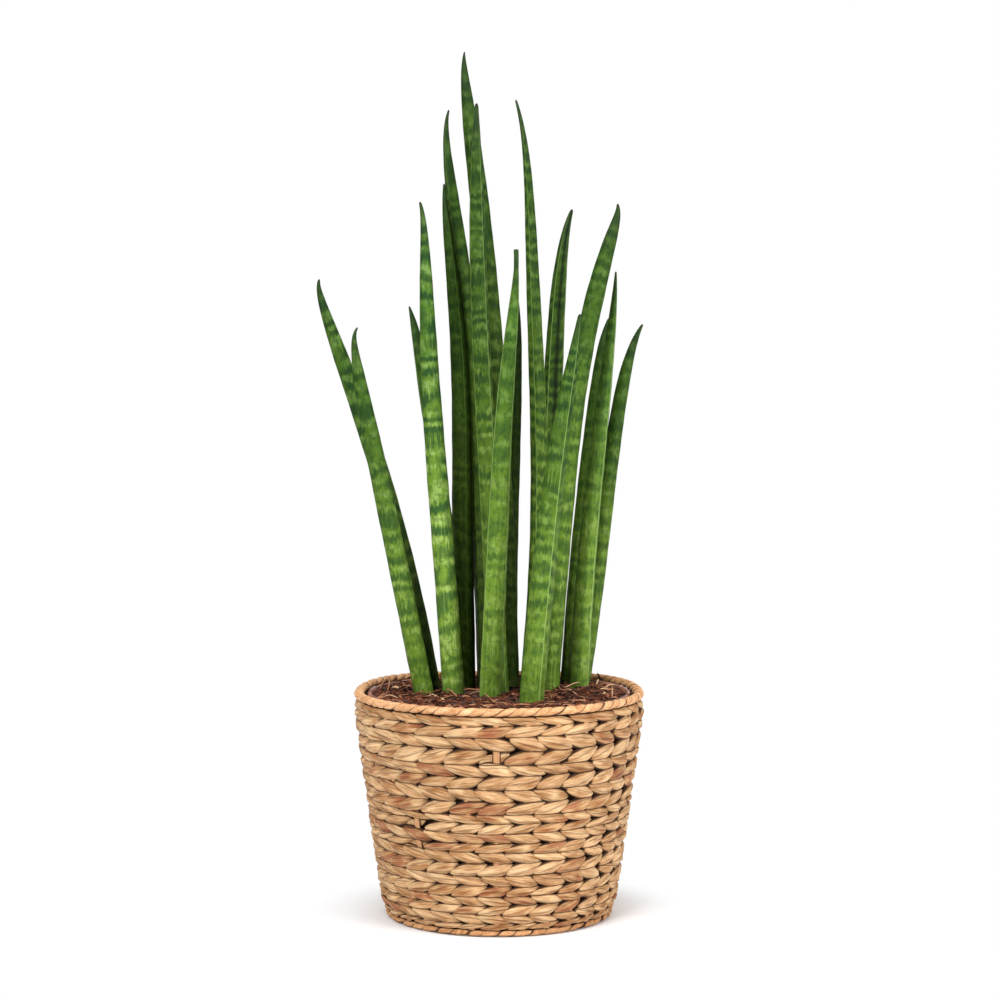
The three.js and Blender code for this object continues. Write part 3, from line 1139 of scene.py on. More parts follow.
@dataclass
class WovenStrands:
    """Rows of strands that lean left and right in turn, so that they make chevrons.

    Each strand is a lens between two seams. behind_stakes lists the row and column of those that
    pass behind their stake, where the stake shows.
    """

    form: BasketForm
    overlap: float = 1.5
    thickness: float = 0.0035
    left_dip: float = 0.0004
    right_dip: float = 0.0034
    sunk_depth: float = 0.0031
    stray: float = 0.00055
    around: int = 10
    along: int = 12
    behind_stakes: tuple[tuple[int, int], ...] = ((16, 0), (10, 26), (8, 26))

    def strayed(self, seam: np.ndarray, column: np.ndarray) -> np.ndarray:
        """How far each seam strays up or down at a column.

        Args:
            seam: The seams' numbers, from the lowest.
            column: The columns, from the one at the front.

        Returns:
            The shifts, which are nothing at the front and at the wall's own edges.
        """
        slow_waves, quick_waves = 3, 5
        slow_step, quick_step = 2.1, 1.7
        turn = TURN * column / self.form.strands
        slow = np.sin(slow_waves * turn) * np.sin(slow_step * seam + 0.6)
        quick = np.sin(quick_waves * turn + quick_step * seam) - np.sin(quick_step * seam)
        inner = (seam > 0) & (seam < len(self.form.row_heights))
        return inner * self.stray * (slow + 0.5 * quick)

    def cells(self) -> bpy.types.Mesh:
        """One point for each strand, which holds its column, seams, lean and depth.

        Returns:
            The points.
        """
        seams = self.form.seams()
        count = self.form.strands * (len(seams) - 1)
        row, column = np.divmod(np.arange(count), self.form.strands)
        mesh = mesh_of("weave_cells", np.zeros((count, 3)), [])
        behind = [(int(r), int(c)) in self.behind_stakes for r, c in zip(row, column)]
        add_attribute(mesh, "column", column.astype(float))
        add_attribute(mesh, "low", seams[row] + self.strayed(row, column))
        add_attribute(mesh, "high", seams[row + 1] + self.strayed(row + 1, column))
        add_attribute(mesh, "lean", 1.0 - 2.0 * (row % 2))
        add_attribute(mesh, "sunk", np.array(behind, dtype=float))
        return mesh

    def tree(self, finish: Finish) -> GrowthTree:
        """Writes the tree that lays the strands round the wall.

        Args:
            finish: The strands' finish.

        Returns:
            The tree.
        """
        pen = GrowthTree("woven strands")
        overlap, thickness, left_dip = pen.sizes(self, "overlap", "thickness", "left_dip")
        right_dip, sunk_depth = pen.sizes(self, "right_dip", "sunk_depth")
        strands, phase, foot, top = pen.sizes(self.form, "strands", "phase", "foot", "top")
        radius, flare, lift, lift_power = pen.sizes(self.form, "radius", "flare", "lift", "lift_power")
        foot_curl, foot_reach = pen.sizes(self.form, "foot_curl", "foot_reach")
        top_curl, top_reach = pen.sizes(self.form, "top_curl", "top_reach")

        # What differs from strand to strand.
        points = pen.draw(
            pen.base,
            seed=11,
            tint=(0.0, 1.0),
            fullness=(1.2, 1.42),
            stretch=(0.91, 1.09),
            shift=(-0.09, 0.09),
            sag=(-0.08, 0.08),
            proud=(-0.0007, 0.0),
            slope=(0.58, 0.74),
            skew=(-0.42, 0.42),
            bow=(2.0, 2.7),
        )
        cloth = pen.repeat(points, pen.rod(self.around, self.along, 2.0))

        # Along the strand u runs from -1 to 1, with its points closer towards both ends.
        across, out, raw = pen.split(pen.recall("local", vector=True))
        end = pen.math("ABSOLUTE", raw)
        u = pen.math("SIGN", raw) * (1.0 - (1.0 - end) ** 1.3)
        reach = pen.math("ABSOLUTE", u)
        leftward = pen.math("MAXIMUM", -u, 0.0)
        rightward = pen.math("MAXIMUM", u, 0.0)
        off = pen.math("ABSOLUTE", across)
        spread = pen.math("SIGN", across) * off ** 0.85

        # Its outline is a lens that leans from the seam below to the seam above.
        bluntness = 0.72 + 0.1 * pen.math("SIGN", raw)
        lens = pen.math("MAXIMUM", 1.0 - reach ** pen.recall("bow"), 0.0) ** bluntness
        lens = pen.math("MAXIMUM", lens * pen.recall("fullness"), 0.03)
        climb = pen.recall("lean") * (pen.recall("slope") * u * 0.5 - 0.01)
        middle = 0.5 + climb + pen.recall("sag") * (1.0 - reach)
        low, high = pen.recall("low"), pen.recall("high")
        row = middle + spread * lens * 0.5
        height = low + (high - low) * row

        # Its section is a flat arch, which dips at both ends under its neighbours.
        bulk = (1.0 - leftward ** 8.0) ** 0.5 * (1.0 - rightward ** 4.0) ** 0.6
        bulk = pen.math("MAXIMUM", bulk, 0.06)
        side = 0.35 + 0.65 * pen.math("SIGN", out)
        face = pen.math("MAXIMUM", 1.0 - off ** 2.6, 0.0) * side * (1.0 + pen.recall("skew") * across)
        dip = left_dip * leftward ** 3.0 + right_dip * rightward ** 1.6
        level = thickness * (face * bulk - 1.0) - dip + pen.recall("proud")
        level = level - sunk_depth * pen.recall("sunk")

        # Its place on the wall, which curls in at the foot and at the top.
        turn = pen.recall("column") + pen.recall("shift") + u * overlap * 0.5 * pen.recall("stretch")
        angle = phase + TURN / strands * turn
        curl = foot_curl * pen.math("EXPONENT", (foot - height) / foot_reach)
        shoulder = top_curl * pen.math("EXPONENT", (height - top) / top_reach)
        out_to = radius + flare * height - curl - shoulder + level
        raised = back_rise(pen, lift, angle) * (height / top) ** lift_power
        length = TURN / strands * overlap * radius * 0.5
        grain = pen.vector(u * length, spread * lens * (high - low) * 0.5, level)
        cloth = pen.keep(cloth, "grain", grain, vector=True)
        # The lane places the painted shade on each strand's edges, tips and seams.
        cloth = pen.keep(cloth, "lane", pen.vector(u, across, row * 2.0 - 1.0), vector=True)
        cloth = pen.place(cloth, pen.polar(out_to, angle, height + raised))
        pen.end(cloth, finish.material())
        return pen


@dataclass
class WoundCord:
    """A cord bent into a ring, with one flat stem wound round it from end to end.

    The stem goes round the ring as many times as turns says, so that its bands lie between each
    other. flat is the cord's height as a share of its width.
    """

    name: str
    centre: float
    height: float
    cord: float
    flat: float
    wraps: int
    turns: int
    ribbon: float
    thickness: float
    overlap_lift: float
    wander: float
    lift: float = 0.0
    # seam_reach scales how much painted shade the edges of each band get.
    seam_reach: float = 0.9
    steps: int = 16
    around: int = 14

    def tree(self, finish: Finish) -> GrowthTree:
        """Writes the tree that winds the stem.

        Args:
            finish: The stem's finish.

        Returns:
            The tree.
        """
        pen = GrowthTree(f"{self.name} winding")
        centre, base, cord, flat = pen.sizes(self, "centre", "height", "cord", "flat")
        wraps, turns, ribbon, thickness = pen.sizes(self, "wraps", "turns", "ribbon", "thickness")
        overlap_lift, wander, lift = pen.sizes(self, "overlap_lift", "wander", "lift")
        tube = pen.rod(self.around, self.wraps * self.steps, 1.0)
        across, out, along = pen.split(pen.recall("local", vector=True))
        wound = (along + 0.5) * wraps
        around = wound * TURN
        here = pen.vector(wound * 0.83, 3.7, 1.9)
        stray = (pen.noise(here, 1.0, 1.0) - 0.5) * wander
        fullness = pen.span(pen.noise(pen.moved(here, (17.0, 5.0, 2.0)), 0.7, 1.0), 0.86, 1.16)
        side = across * ribbon * 0.5 * fullness
        angle = wound / wraps * TURN * turns + (stray - side) / centre + math.pi / 2
        outer = pen.math("MAXIMUM", out, 0.0) ** 1.5
        inner = pen.math("MINIMUM", out, 0.0) * 0.5
        reach = cord + thickness * (outer + inner - 1.0) + (across - 1.0) * overlap_lift
        radius = centre + reach * pen.math("COSINE", around)
        height = base + back_rise(pen, lift, angle) + flat * reach * pen.math("SINE", around)
        seeded = pen.noise(pen.vector(wound * 0.6, 0.5, 0.5), 1.0, 0.0)
        tube = pen.keep(tube, "tint", pen.ramp(seeded, 0.25, 0.8) * 0.8)
        # The lane places the painted shade along the edges of each band.
        tube = pen.keep(tube, "lane", pen.vector(0.0, across * self.seam_reach, 0.0), vector=True)
        grain = pen.vector(around * cord, side, wound * 0.013)
        tube = pen.keep(tube, "grain", grain, vector=True)
        tube = pen.place(tube, pen.polar(radius, angle, height))
        pen.end(tube, finish.material())
        return pen


@dataclass
class Stakes:
    """The upright flat stakes that the strands are woven over."""

    form: BasketForm
    half_width: float = 0.0026
    half_depth: float = 0.0009
    depth_in: float = 0.0036
    short: float = 0.004
    segments: int = 12
    around: int = 12

    @property
    def top(self) -> float:
        """Where the stakes end, just under the rim."""
        return self.form.top - self.short

    def tree(self, finish: Finish) -> GrowthTree:
        """Writes the tree that sets the stakes round the wall.

        Args:
            finish: The stakes' finish.

        Returns:
            The tree.
        """
        pen = GrowthTree("basket stakes")
        half_width, half_depth = pen.sizes(self, "half_width", "half_depth")
        depth_in, top = pen.sizes(self, "depth_in", "top")
        count, phase, foot = pen.sizes(self.form, "strands", "phase", "foot")
        radius, flare = pen.sizes(self.form, "radius", "flare")
        points = pen.run("GeometryNodePoints", {"Count": count})
        points = pen.keep(points, "column", pen.run("GeometryNodeInputIndex", {}))
        points = pen.draw(points, seed=21, tint=(0.3, 0.8))
        rods = pen.repeat(points, pen.rod(self.around, self.segments, 1.0))
        across, out, up = pen.split(pen.recall("local", vector=True))
        height = foot + (up + 0.5) * (top - foot)
        ribs = 0.25 * pen.math("COSINE", across * 9.0)
        reach = radius + flare * height - depth_in + (out + out * ribs) * half_depth
        angle = phase + pen.recall("column") / count * TURN + across * half_width / reach
        rods = pen.keep(rods, "grain", pen.vector(height, across * half_width, out), vector=True)
        # The lane places the painted shade along the stakes' edges.
        rods = pen.keep(rods, "lane", pen.vector(0.0, across * 0.9, 0.0), vector=True)
        rods = pen.place(rods, pen.polar(reach, angle, height))
        pen.end(rods, finish.material())
        return pen


@dataclass
class Basket:
    """The round tapered basket: strands over stakes, a lining, and two wound borders."""

    form: BasketForm = BasketForm()
    gap: float = 0.0003
    rim_centre: float = 0.0928
    rim_cord: float = 0.0037
    rim_flat: float = 0.81
    foot_centre: float = 0.0737
    foot_cord: float = 0.0021
    lining_depth: float = 0.0046
    lining_columns: int = 120
    lining_rings: int = 30

    def lining(self) -> bpy.types.Mesh:
        """The inside of the wall and the floor, one closed shell.

        Returns:
            The lining's mesh.
        """
        form = self.form
        heights = np.linspace(form.foot, form.top, self.lining_rings)
        outside = [(form.crest_radius(height) - self.lining_depth, height) for height in heights]
        inner_top = form.inner_radius + form.inner_flare * form.top
        inner_foot = form.inner_radius + form.inner_flare * form.floor_thickness
        profile = [
            (0.0, 0.0),
            (form.floor_radius, 0.0),
            (form.floor_radius, form.foot),
            *outside,
            (inner_top, form.top),
            (inner_foot, form.floor_thickness),
            (0.0, form.floor_thickness),
        ]
        return revolved("basket_lining", profile, self.lining_columns)

    def build(self) -> None:
        """Makes the basket's pieces and settles them."""
        strands = WovenStrands(self.form)
        cloth = grow("basket_strands", strands.tree(StrawFinish()), strands.cells())
        settle(cloth, "straw", "basket")
        settle(grow("basket_stakes", Stakes(self.form).tree(STAKE_STRAW)), "straw")
        make_piece(self.lining(), ShadedLiningFinish(), "straw")
        rim = WoundCord(
            "basket_rim_cord",
            centre=self.rim_centre,
            height=self.form.top + self.gap + self.rim_flat * self.rim_cord,
            cord=self.rim_cord,
            flat=self.rim_flat,
            wraps=73,
            turns=2,
            ribbon=0.0106,
            thickness=0.0015,
            overlap_lift=0.0004,
            wander=0.009,
            lift=self.form.lift,
        )
        settle(grow(rim.name, rim.tree(RIM_STRAW)), "straw_cord", "basket_rim")
        foot = WoundCord(
            "basket_foot_cord",
            centre=self.foot_centre,
            height=self.gap + self.foot_cord,
            cord=self.foot_cord,
            flat=1.0,
            wraps=45,
            turns=1,
            ribbon=0.0138,
            thickness=0.0010,
            overlap_lift=0.0003,
            wander=0.016,
            seam_reach=0.98,
        )
        settle(grow(foot.name, foot.tree(SHADED_FOOT_STRAW)), "straw_cord", "basket_foot")


@dataclass
class NurseryPot:
    """The thin plastic pot inside the basket, with drainage holes in its floor."""

    floor_height: float = 0.0053
    floor_radius: float = 0.066
    lip_radius: float = 0.087
    lip_height: float = 0.1482
    lip_depth: float = 0.008
    lip_step: float = 0.0011
    wall: float = 0.0012
    lip_round: float = 0.0005
    columns: int = 160
    drain_holes: int = 6
    drain_radius: float = 0.004
    drain_circle: float = 0.042

    def radius(self, height: float) -> float:
        """The wall's outer radius at a height, below the lip."""
        rise = (height - self.floor_height) / (self.lip_height - self.floor_height)
        return self.floor_radius + (self.lip_radius - self.lip_step - self.floor_radius) * rise

    def shell(self) -> bpy.types.Mesh:
        """The pot before its holes are cut.

        Returns:
            The pot's mesh.
        """
        lip_foot = self.lip_height - self.lip_depth
        inside_floor = self.floor_height + self.wall
        soft = self.lip_round
        inner_lip = self.radius(self.lip_height) - self.wall
        profile = [
            (0.0, self.floor_height),
            (self.floor_radius - soft, self.floor_height),
            (self.floor_radius, self.floor_height + soft),
            (self.radius(lip_foot), lip_foot),
            (self.lip_radius - soft, lip_foot),
            (self.lip_radius, lip_foot + soft),
            (self.lip_radius, self.lip_height - soft),
            (self.lip_radius - soft, self.lip_height),
            (inner_lip + soft, self.lip_height),
            (inner_lip, self.lip_height - soft),
            (self.radius(inside_floor) - self.wall, inside_floor),
            (0.0, inside_floor),
        ]
        return revolved("nursery_pot_shell", profile, self.columns)

    def drill(self, angle: float) -> bpy.types.Mesh:
        """The rod that cuts one drainage hole.

        Args:
            angle: Where the hole lies, from +X.

        Returns:
            The rod's mesh.
        """
        sides = 24
        spin = np.arange(sides) / sides * TURN
        x = self.drain_circle * math.cos(angle) + self.drain_radius * np.cos(spin)
        y = self.drain_circle * math.sin(angle) + self.drain_radius * np.sin(spin)
        low, high = self.floor_height - self.wall, self.floor_height + 3 * self.wall
        rings = [np.column_stack([x, y, np.full(sides, height)]) for height in (low, high)]
        return mesh_of("drill", np.vstack(rings), tube_faces(2, sides))

    def build(self) -> None:
        """Makes the pot and settles it."""
        pot = new_object("nursery_pot_shell", self.shell())
        for hole in range(self.drain_holes):
            rod = new_object("drill", self.drill(hole / self.drain_holes * TURN))
            cut = pot.modifiers.new("hole", "BOOLEAN")
            cut.object = rod
            cut.solver = "EXACT"
            apply(pot, cut)
            bpy.data.objects.remove(rod)
        pot.data.materials.clear()
        pot.data.materials.append(PlasticFinish().material())
        settle(pot, "pot_plastic", "nursery_pot")


@dataclass(frozen=True)
class LeafForm:
    """How one leaf stands.

    foot is where it stands, top is the height of its tip, and lean is how far the tip lies from the
    foot. bend holds the belly at half its length, a slight S, the hook below the tip and the curl at
    the tip, all along X. girth holds the diameter low down, the share of the length over which the
    tip narrows and the tip's own radius. groove is the compass direction of its channel, in degrees
    from +X towards +Y, and lip is how far each of the channel's edges lies from it, in radians. neck
    is the share of the length below the tip that stays as thin as the tip, and dome is the length of
    the tip's rounded end in its own radii.
    """

    foot: tuple[float, float]
    top: float
    lean: tuple[float, float]
    bend: tuple[float, float, float, float]
    girth: Point
    groove: float
    lip: float = 0.86
    neck: float = 0.0
    dome: float = 2.2


# From the leftmost tip to the rightmost.
LEAF_FORMS = (
    LeafForm(
        (-0.0450, 0.018), 0.422, (-0.0825, 0.022), (0.0090, 0.0, 0.0042, 0.0022), (0.0136, 0.14, 0.0007), 20
    ),
    LeafForm(
        (-0.0495, -0.002), 0.389, (-0.0490, -0.018), (0.0006, 0.0, 0.0034, 0.0032),
        (0.0130, 0.16, 0.0005), 60,
    ),
    LeafForm(
        (-0.0350, 0.032), 0.404, (-0.0230, 0.018), (0.0080, 0.003, -0.003, 0.0), (0.0095, 0.08, 0.0005), 170
    ),
    LeafForm(
        (-0.0300, 0.002), 0.471, (-0.0180, -0.008), (-0.0030, 0.001, -0.0026, -0.0012),
        (0.0148, 0.22, 0.0008), 75,
    ),
    LeafForm(
        (-0.0230, 0.024), 0.485, (-0.0170, 0.002), (0.0070, -0.002, 0.003, 0.0004),
        (0.0155, 0.22, 0.0006), 338,
    ),
    LeafForm(
        (-0.0085, 0.031), 0.535, (-0.0350, 0.007), (0.0093, -0.0015, 0.0083, 0.0016),
        (0.0136, 0.16, 0.0006), 195,
    ),
    LeafForm(
        (0.0070, 0.034), 0.575, (-0.0340, 0.016), (0.0074, -0.0005, 0.0023, 0.0014),
        (0.0135, 0.09, 0.0004), 110,
    ),
    LeafForm(
        (0.0000, 0.006), 0.537, (-0.0150, 0.008), (-0.0025, 0.001, 0.0002, 0.0),
        (0.0132, 0.16, 0.0011), 262, 0.95,
    ),
    LeafForm(
        (0.0195, 0.004), 0.538, (-0.0010, -0.002), (0.0065, 0.002, -0.0075, 0.0),
        (0.0130, 0.30, 0.0007), 300,
    ),
    LeafForm(
        (-0.0060, -0.016), 0.439, (0.0210, -0.018), (-0.0035, 0.001, -0.004, 0.0),
        (0.0147, 0.24, 0.0016), 268,
        lip=1.1, neck=0.045, dome=0.25,
    ),
    LeafForm(
        (0.0075, 0.056), 0.409, (0.0040, 0.016), (-0.001, -0.0005, 0.001, 0.0),
        (0.0110, 0.08, 0.0010), 90,
    ),
    LeafForm(
        (0.0320, 0.046), 0.470, (0.0120, 0.016), (-0.0025, 0.0005, 0.0055, 0.0004),
        (0.0138, 0.14, 0.0010), 286,
        lip=0.8,
    ),
    LeafForm(
        (0.0215, -0.040), 0.397, (0.0315, -0.018), (-0.004, 0.0005, -0.0015, 0.0),
        (0.0172, 0.26, 0.0011), 346,
    ),
    LeafForm(
        (0.0540, 0.032), 0.427, (0.0265, 0.004), (-0.003, -0.0005, -0.002, 0.0),
        (0.0137, 0.28, 0.0006), 246,
        lip=1.45,
    ),
    LeafForm(
        (0.0470, 0.055), 0.396, (0.0270, 0.007), (-0.003, 0.0, 0.001, 0.0),
        (0.0100, 0.06, 0.0006), 90,
    ),
    LeafForm(
        (0.0335, 0.018), 0.471, (0.0470, -0.004), (-0.0102, 0.002, 0.0012, -0.0032),
        (0.0133, 0.08, 0.0006), 40,
    ),
    LeafForm(
        (0.0562, 0.0455), 0.392, (0.0360, 0.024), (-0.0015, 0.001, 0.006, 0.0004),
        (0.0112, 0.12, 0.0007), 60,
    ),
)


@dataclass
class Leaf:
    """One cylindrical leaf with a shallow channel, grown along its own curve."""

    number: int
    form: LeafForm
    ground: float = 0.145
    root: float = 0.018
    hook_power: float = 14.0
    curl_power: float = 60.0
    tip_crowding: float = 1.8
    tip_roundness: float = 0.97
    groove_depth: float = 0.16
    groove_width: float = 0.6
    lip_rise: float = 0.035
    lip_width: float = 0.14
    # Depth, number and shift from leaf to leaf of the fine ribs round it and the swellings along it.
    ribs: tuple[tuple[float, int, int], ...] = ((0.006, 9, 1), (0.004, 14, 2))
    swellings: tuple[Point, ...] = ((0.012, 140.0, 1.7), (0.008, 330.0, 2.9))
    sides: int = 44
    rings: int = 130

    def centre(self, share: np.ndarray) -> np.ndarray:
        """The leaf's middle line.

        Args:
            share: Shares of its height, 0 at the ground and 1 at the tip.

        Returns:
            One row of X, Y and Z for each share.
        """
        up = np.maximum(share, 0)
        belly, sway, hook, curl = self.form.bend
        bent = belly * 4 * up * (1 - up) + sway * np.sin(TURN * up)
        x = self.form.foot[0] + self.form.lean[0] * up + bent
        x += hook * up**self.hook_power + curl * up**self.curl_power
        y = self.form.foot[1] + self.form.lean[1] * up
        return np.column_stack([x, y, self.ground + (self.form.top - self.ground) * share])

    def radius(self, share: np.ndarray) -> np.ndarray:
        """The leaf's radius at each share of its height, rounded off at the tip.

        Args:
            share: Shares of its height.

        Returns:
            The radii.
        """
        width, taper, tip = self.form.girth
        widening = np.minimum(share + self.form.neck - 1, 0)
        straight = tip + (width / 2 - tip) * (1 - np.exp(widening / taper))
        left = np.clip((1 - share) * (self.form.top - self.ground) / (self.form.dome * tip), 0, 1)
        return straight * np.sqrt(1 - self.tip_roundness * (1 - left) ** 2)

    def axes(self, share: np.ndarray) -> tuple[np.ndarray, np.ndarray]:
        """The directions square to the leaf, sideways and towards the back.

        Args:
            share: Shares of its height.

        Returns:
            One row for each share, for each direction.
        """
        near = 0.01
        high = np.minimum(share + near, 1)
        along = self.centre(high) - self.centre(high - 2 * near)
        along /= np.linalg.norm(along, axis=1, keepdims=True)
        side = np.cross([0.0, 1.0, 0.0], along)
        side /= np.linalg.norm(side, axis=1, keepdims=True)
        return side, np.cross(along, side)

    def skin(self) -> bpy.types.Mesh:
        """The leaf's closed mesh, with its straightened coordinates as attributes.

        Returns:
            The mesh.
        """
        length = self.form.top - self.ground
        lowest = -self.root / length
        climb = 1 - (1 - np.linspace(0, 1, self.rings)) ** self.tip_crowding
        share = lowest + (1 - lowest) * climb
        off = (np.arange(self.sides) / self.sides - 0.5) * TURN
        angle = off + math.radians(self.form.groove)
        lip = self.form.lip
        hollow = self.groove_depth * np.exp(-((off / (self.groove_width * lip)) ** 2))
        lips = self.lip_rise * np.exp(-(((np.abs(off) - lip) / self.lip_width) ** 2))
        ribs = np.zeros_like(off)
        for depth, times, shift in self.ribs:
            ribs = ribs + depth * np.cos(times * off + shift * self.number)
        section = 1 - hollow + lips + ribs
        wobble = np.ones_like(share)
        for depth, rate, shift in self.swellings:
            wobble += depth * np.sin(share * length * rate + self.number * shift)
        reach = (self.radius(share) * wobble)[:, None] * section[None, :]
        side, back = self.axes(share)
        rim = side[:, None, :] * np.cos(angle)[None, :, None]
        rim = rim + back[:, None, :] * np.sin(angle)[None, :, None]
        points = self.centre(share)[:, None, :] + rim * reach[:, :, None]
        count = self.rings * self.sides
        name = f"leaf_blade_{self.number:02d}"
        mesh = mesh_of(name, points.reshape(count, 3), tube_faces(self.rings, self.sides))
        steps = np.linalg.norm(np.diff(self.centre(share), axis=0), axis=1)
        run = np.concatenate([[0.0], np.cumsum(steps)]) - self.root
        flat = np.stack(
            [
                reach * np.cos(angle)[None, :],
                reach * np.sin(angle)[None, :],
                np.repeat(run[:, None], self.sides, axis=1),
            ],
            axis=2,
        )
        add_attribute(mesh, "skin", flat.reshape(count, 3))
        add_attribute(mesh, "share", np.repeat(share, self.sides))
        add_attribute(mesh, "channel", np.tile(np.abs(off) / lip, self.rings))
        return mesh

    def build(self) -> None:
        """Makes the leaf and settles it."""
        finish = LeafFinish(f"leaf skin {self.number:02d}", number=self.number)
        make_piece(self.skin(), finish, "leaf", f"leaf_{self.number:02d}")


def ground_noise(x: np.ndarray, y: np.ndarray, size: float, seed: int) -> np.ndarray:
    """Smooth noise from -1 to 1 over the ground.

    Args:
        x: Places along X.
        y: Places along Y.
        size: How far one lump lies from the next.
        seed: Picks the pattern.

    Returns:
        The noise at each place.
    """
    cells = 128
    table = np.random.default_rng(seed).uniform(-1, 1, (cells, cells))
    column, row = x / size + cells / 2, y / size + cells / 2
    i, j = np.floor(column).astype(int), np.floor(row).astype(int)
    u, v = column - i, row - j
    u, v = u * u * (3 - 2 * u), v * v * (3 - 2 * v)

    def corner(right: int, up: int) -> np.ndarray:
        """The table's numbers at one corner of each place's cell."""
        return table[(i + right) % cells, (j + up) % cells]

    low = corner(0, 0) * (1 - u) + corner(1, 0) * u
    high = corner(0, 1) * (1 - u) + corner(1, 1) * u
    return low * (1 - v) + high * v


@dataclass(frozen=True)
class LooseFibre:
    """One fibre that lies on the compost, through points of X, Y and height above it."""

    points: tuple[Point, ...]
    radius: float
    tint: float


LOOSE_FIBRES = (
    LooseFibre(
        (
            (-0.0554, 0.008, 0.0055), (-0.0530, 0.005, 0.0026), (-0.0496, 0.001, 0.0016),
            (-0.0452, -0.008, 0.0018), (-0.0407, -0.018, 0.0020), (-0.0362, -0.035, 0.0022),
            (-0.0313, -0.057, 0.0014),
        ),
        0.00048, 1.0,
    ),
    LooseFibre(
        (
            (-0.0800, 0.020, 0.0008), (-0.0790, 0.032, 0.0030), (-0.0765, 0.040, 0.0048),
            (-0.0745, 0.038, 0.0045), (-0.0742, 0.022, 0.0020), (-0.0748, 0.002, 0.0006),
        ),
        0.00055, 0.93,
    ),
    LooseFibre(((-0.0668, -0.018, 0.0012), (-0.0653, -0.019, 0.0016), (-0.0640, -0.020, 0.0012)),
               0.0014, 0.90),
    LooseFibre(((-0.0667, 0.052, 0.0020), (-0.0634, 0.025, 0.0026), (-0.0591, 0.000, 0.0008)),
               0.0005, 0.86),
    LooseFibre(((-0.0397, 0.012, 0.0010), (-0.0345, -0.004, 0.0034), (-0.0290, -0.022, 0.0026),
                (-0.0253, -0.038, 0.0006)), 0.00045, 0.92),
    LooseFibre(((-0.0185, 0.001, 0.0008), (-0.0125, -0.012, 0.0028), (-0.0045, -0.038, 0.0008)),
               0.00045, 0.90),
    LooseFibre(((0.0442, 0.025, 0.0012), (0.0473, 0.005, 0.0022), (0.0514, -0.014, 0.0022),
                (0.0558, -0.033, 0.0010)), 0.00048, 0.97),
    LooseFibre(((0.0395, 0.020, 0.0012), (0.0450, 0.014, 0.0028), (0.0500, 0.018, 0.0044),
                (0.0540, 0.020, 0.0052)), 0.00042, 0.96),
    LooseFibre(((0.0658, 0.036, 0.0010), (0.0672, 0.046, 0.0030), (0.0679, 0.050, 0.0034)), 0.0007, 0.97),
    LooseFibre(((0.0752, 0.006, 0.0046), (0.0748, -0.010, 0.0030), (0.0740, -0.026, 0.0006)),
               0.00042, 0.96),
    LooseFibre(((0.0702, -0.012, 0.0012), (0.0716, -0.012, 0.0016), (0.0730, -0.014, 0.0010)),
               0.0009, 0.93),
    LooseFibre(((0.0676, 0.060, 0.0064), (0.0690, 0.056, 0.0044), (0.0705, 0.050, 0.0018),
                (0.0720, 0.042, 0.0002)), 0.0007, 0.1),
    LooseFibre(((0.0322, -0.004, 0.0006), (0.0335, -0.022, 0.0030), (0.0348, -0.048, 0.0006)),
               0.00045, 0.94),
)


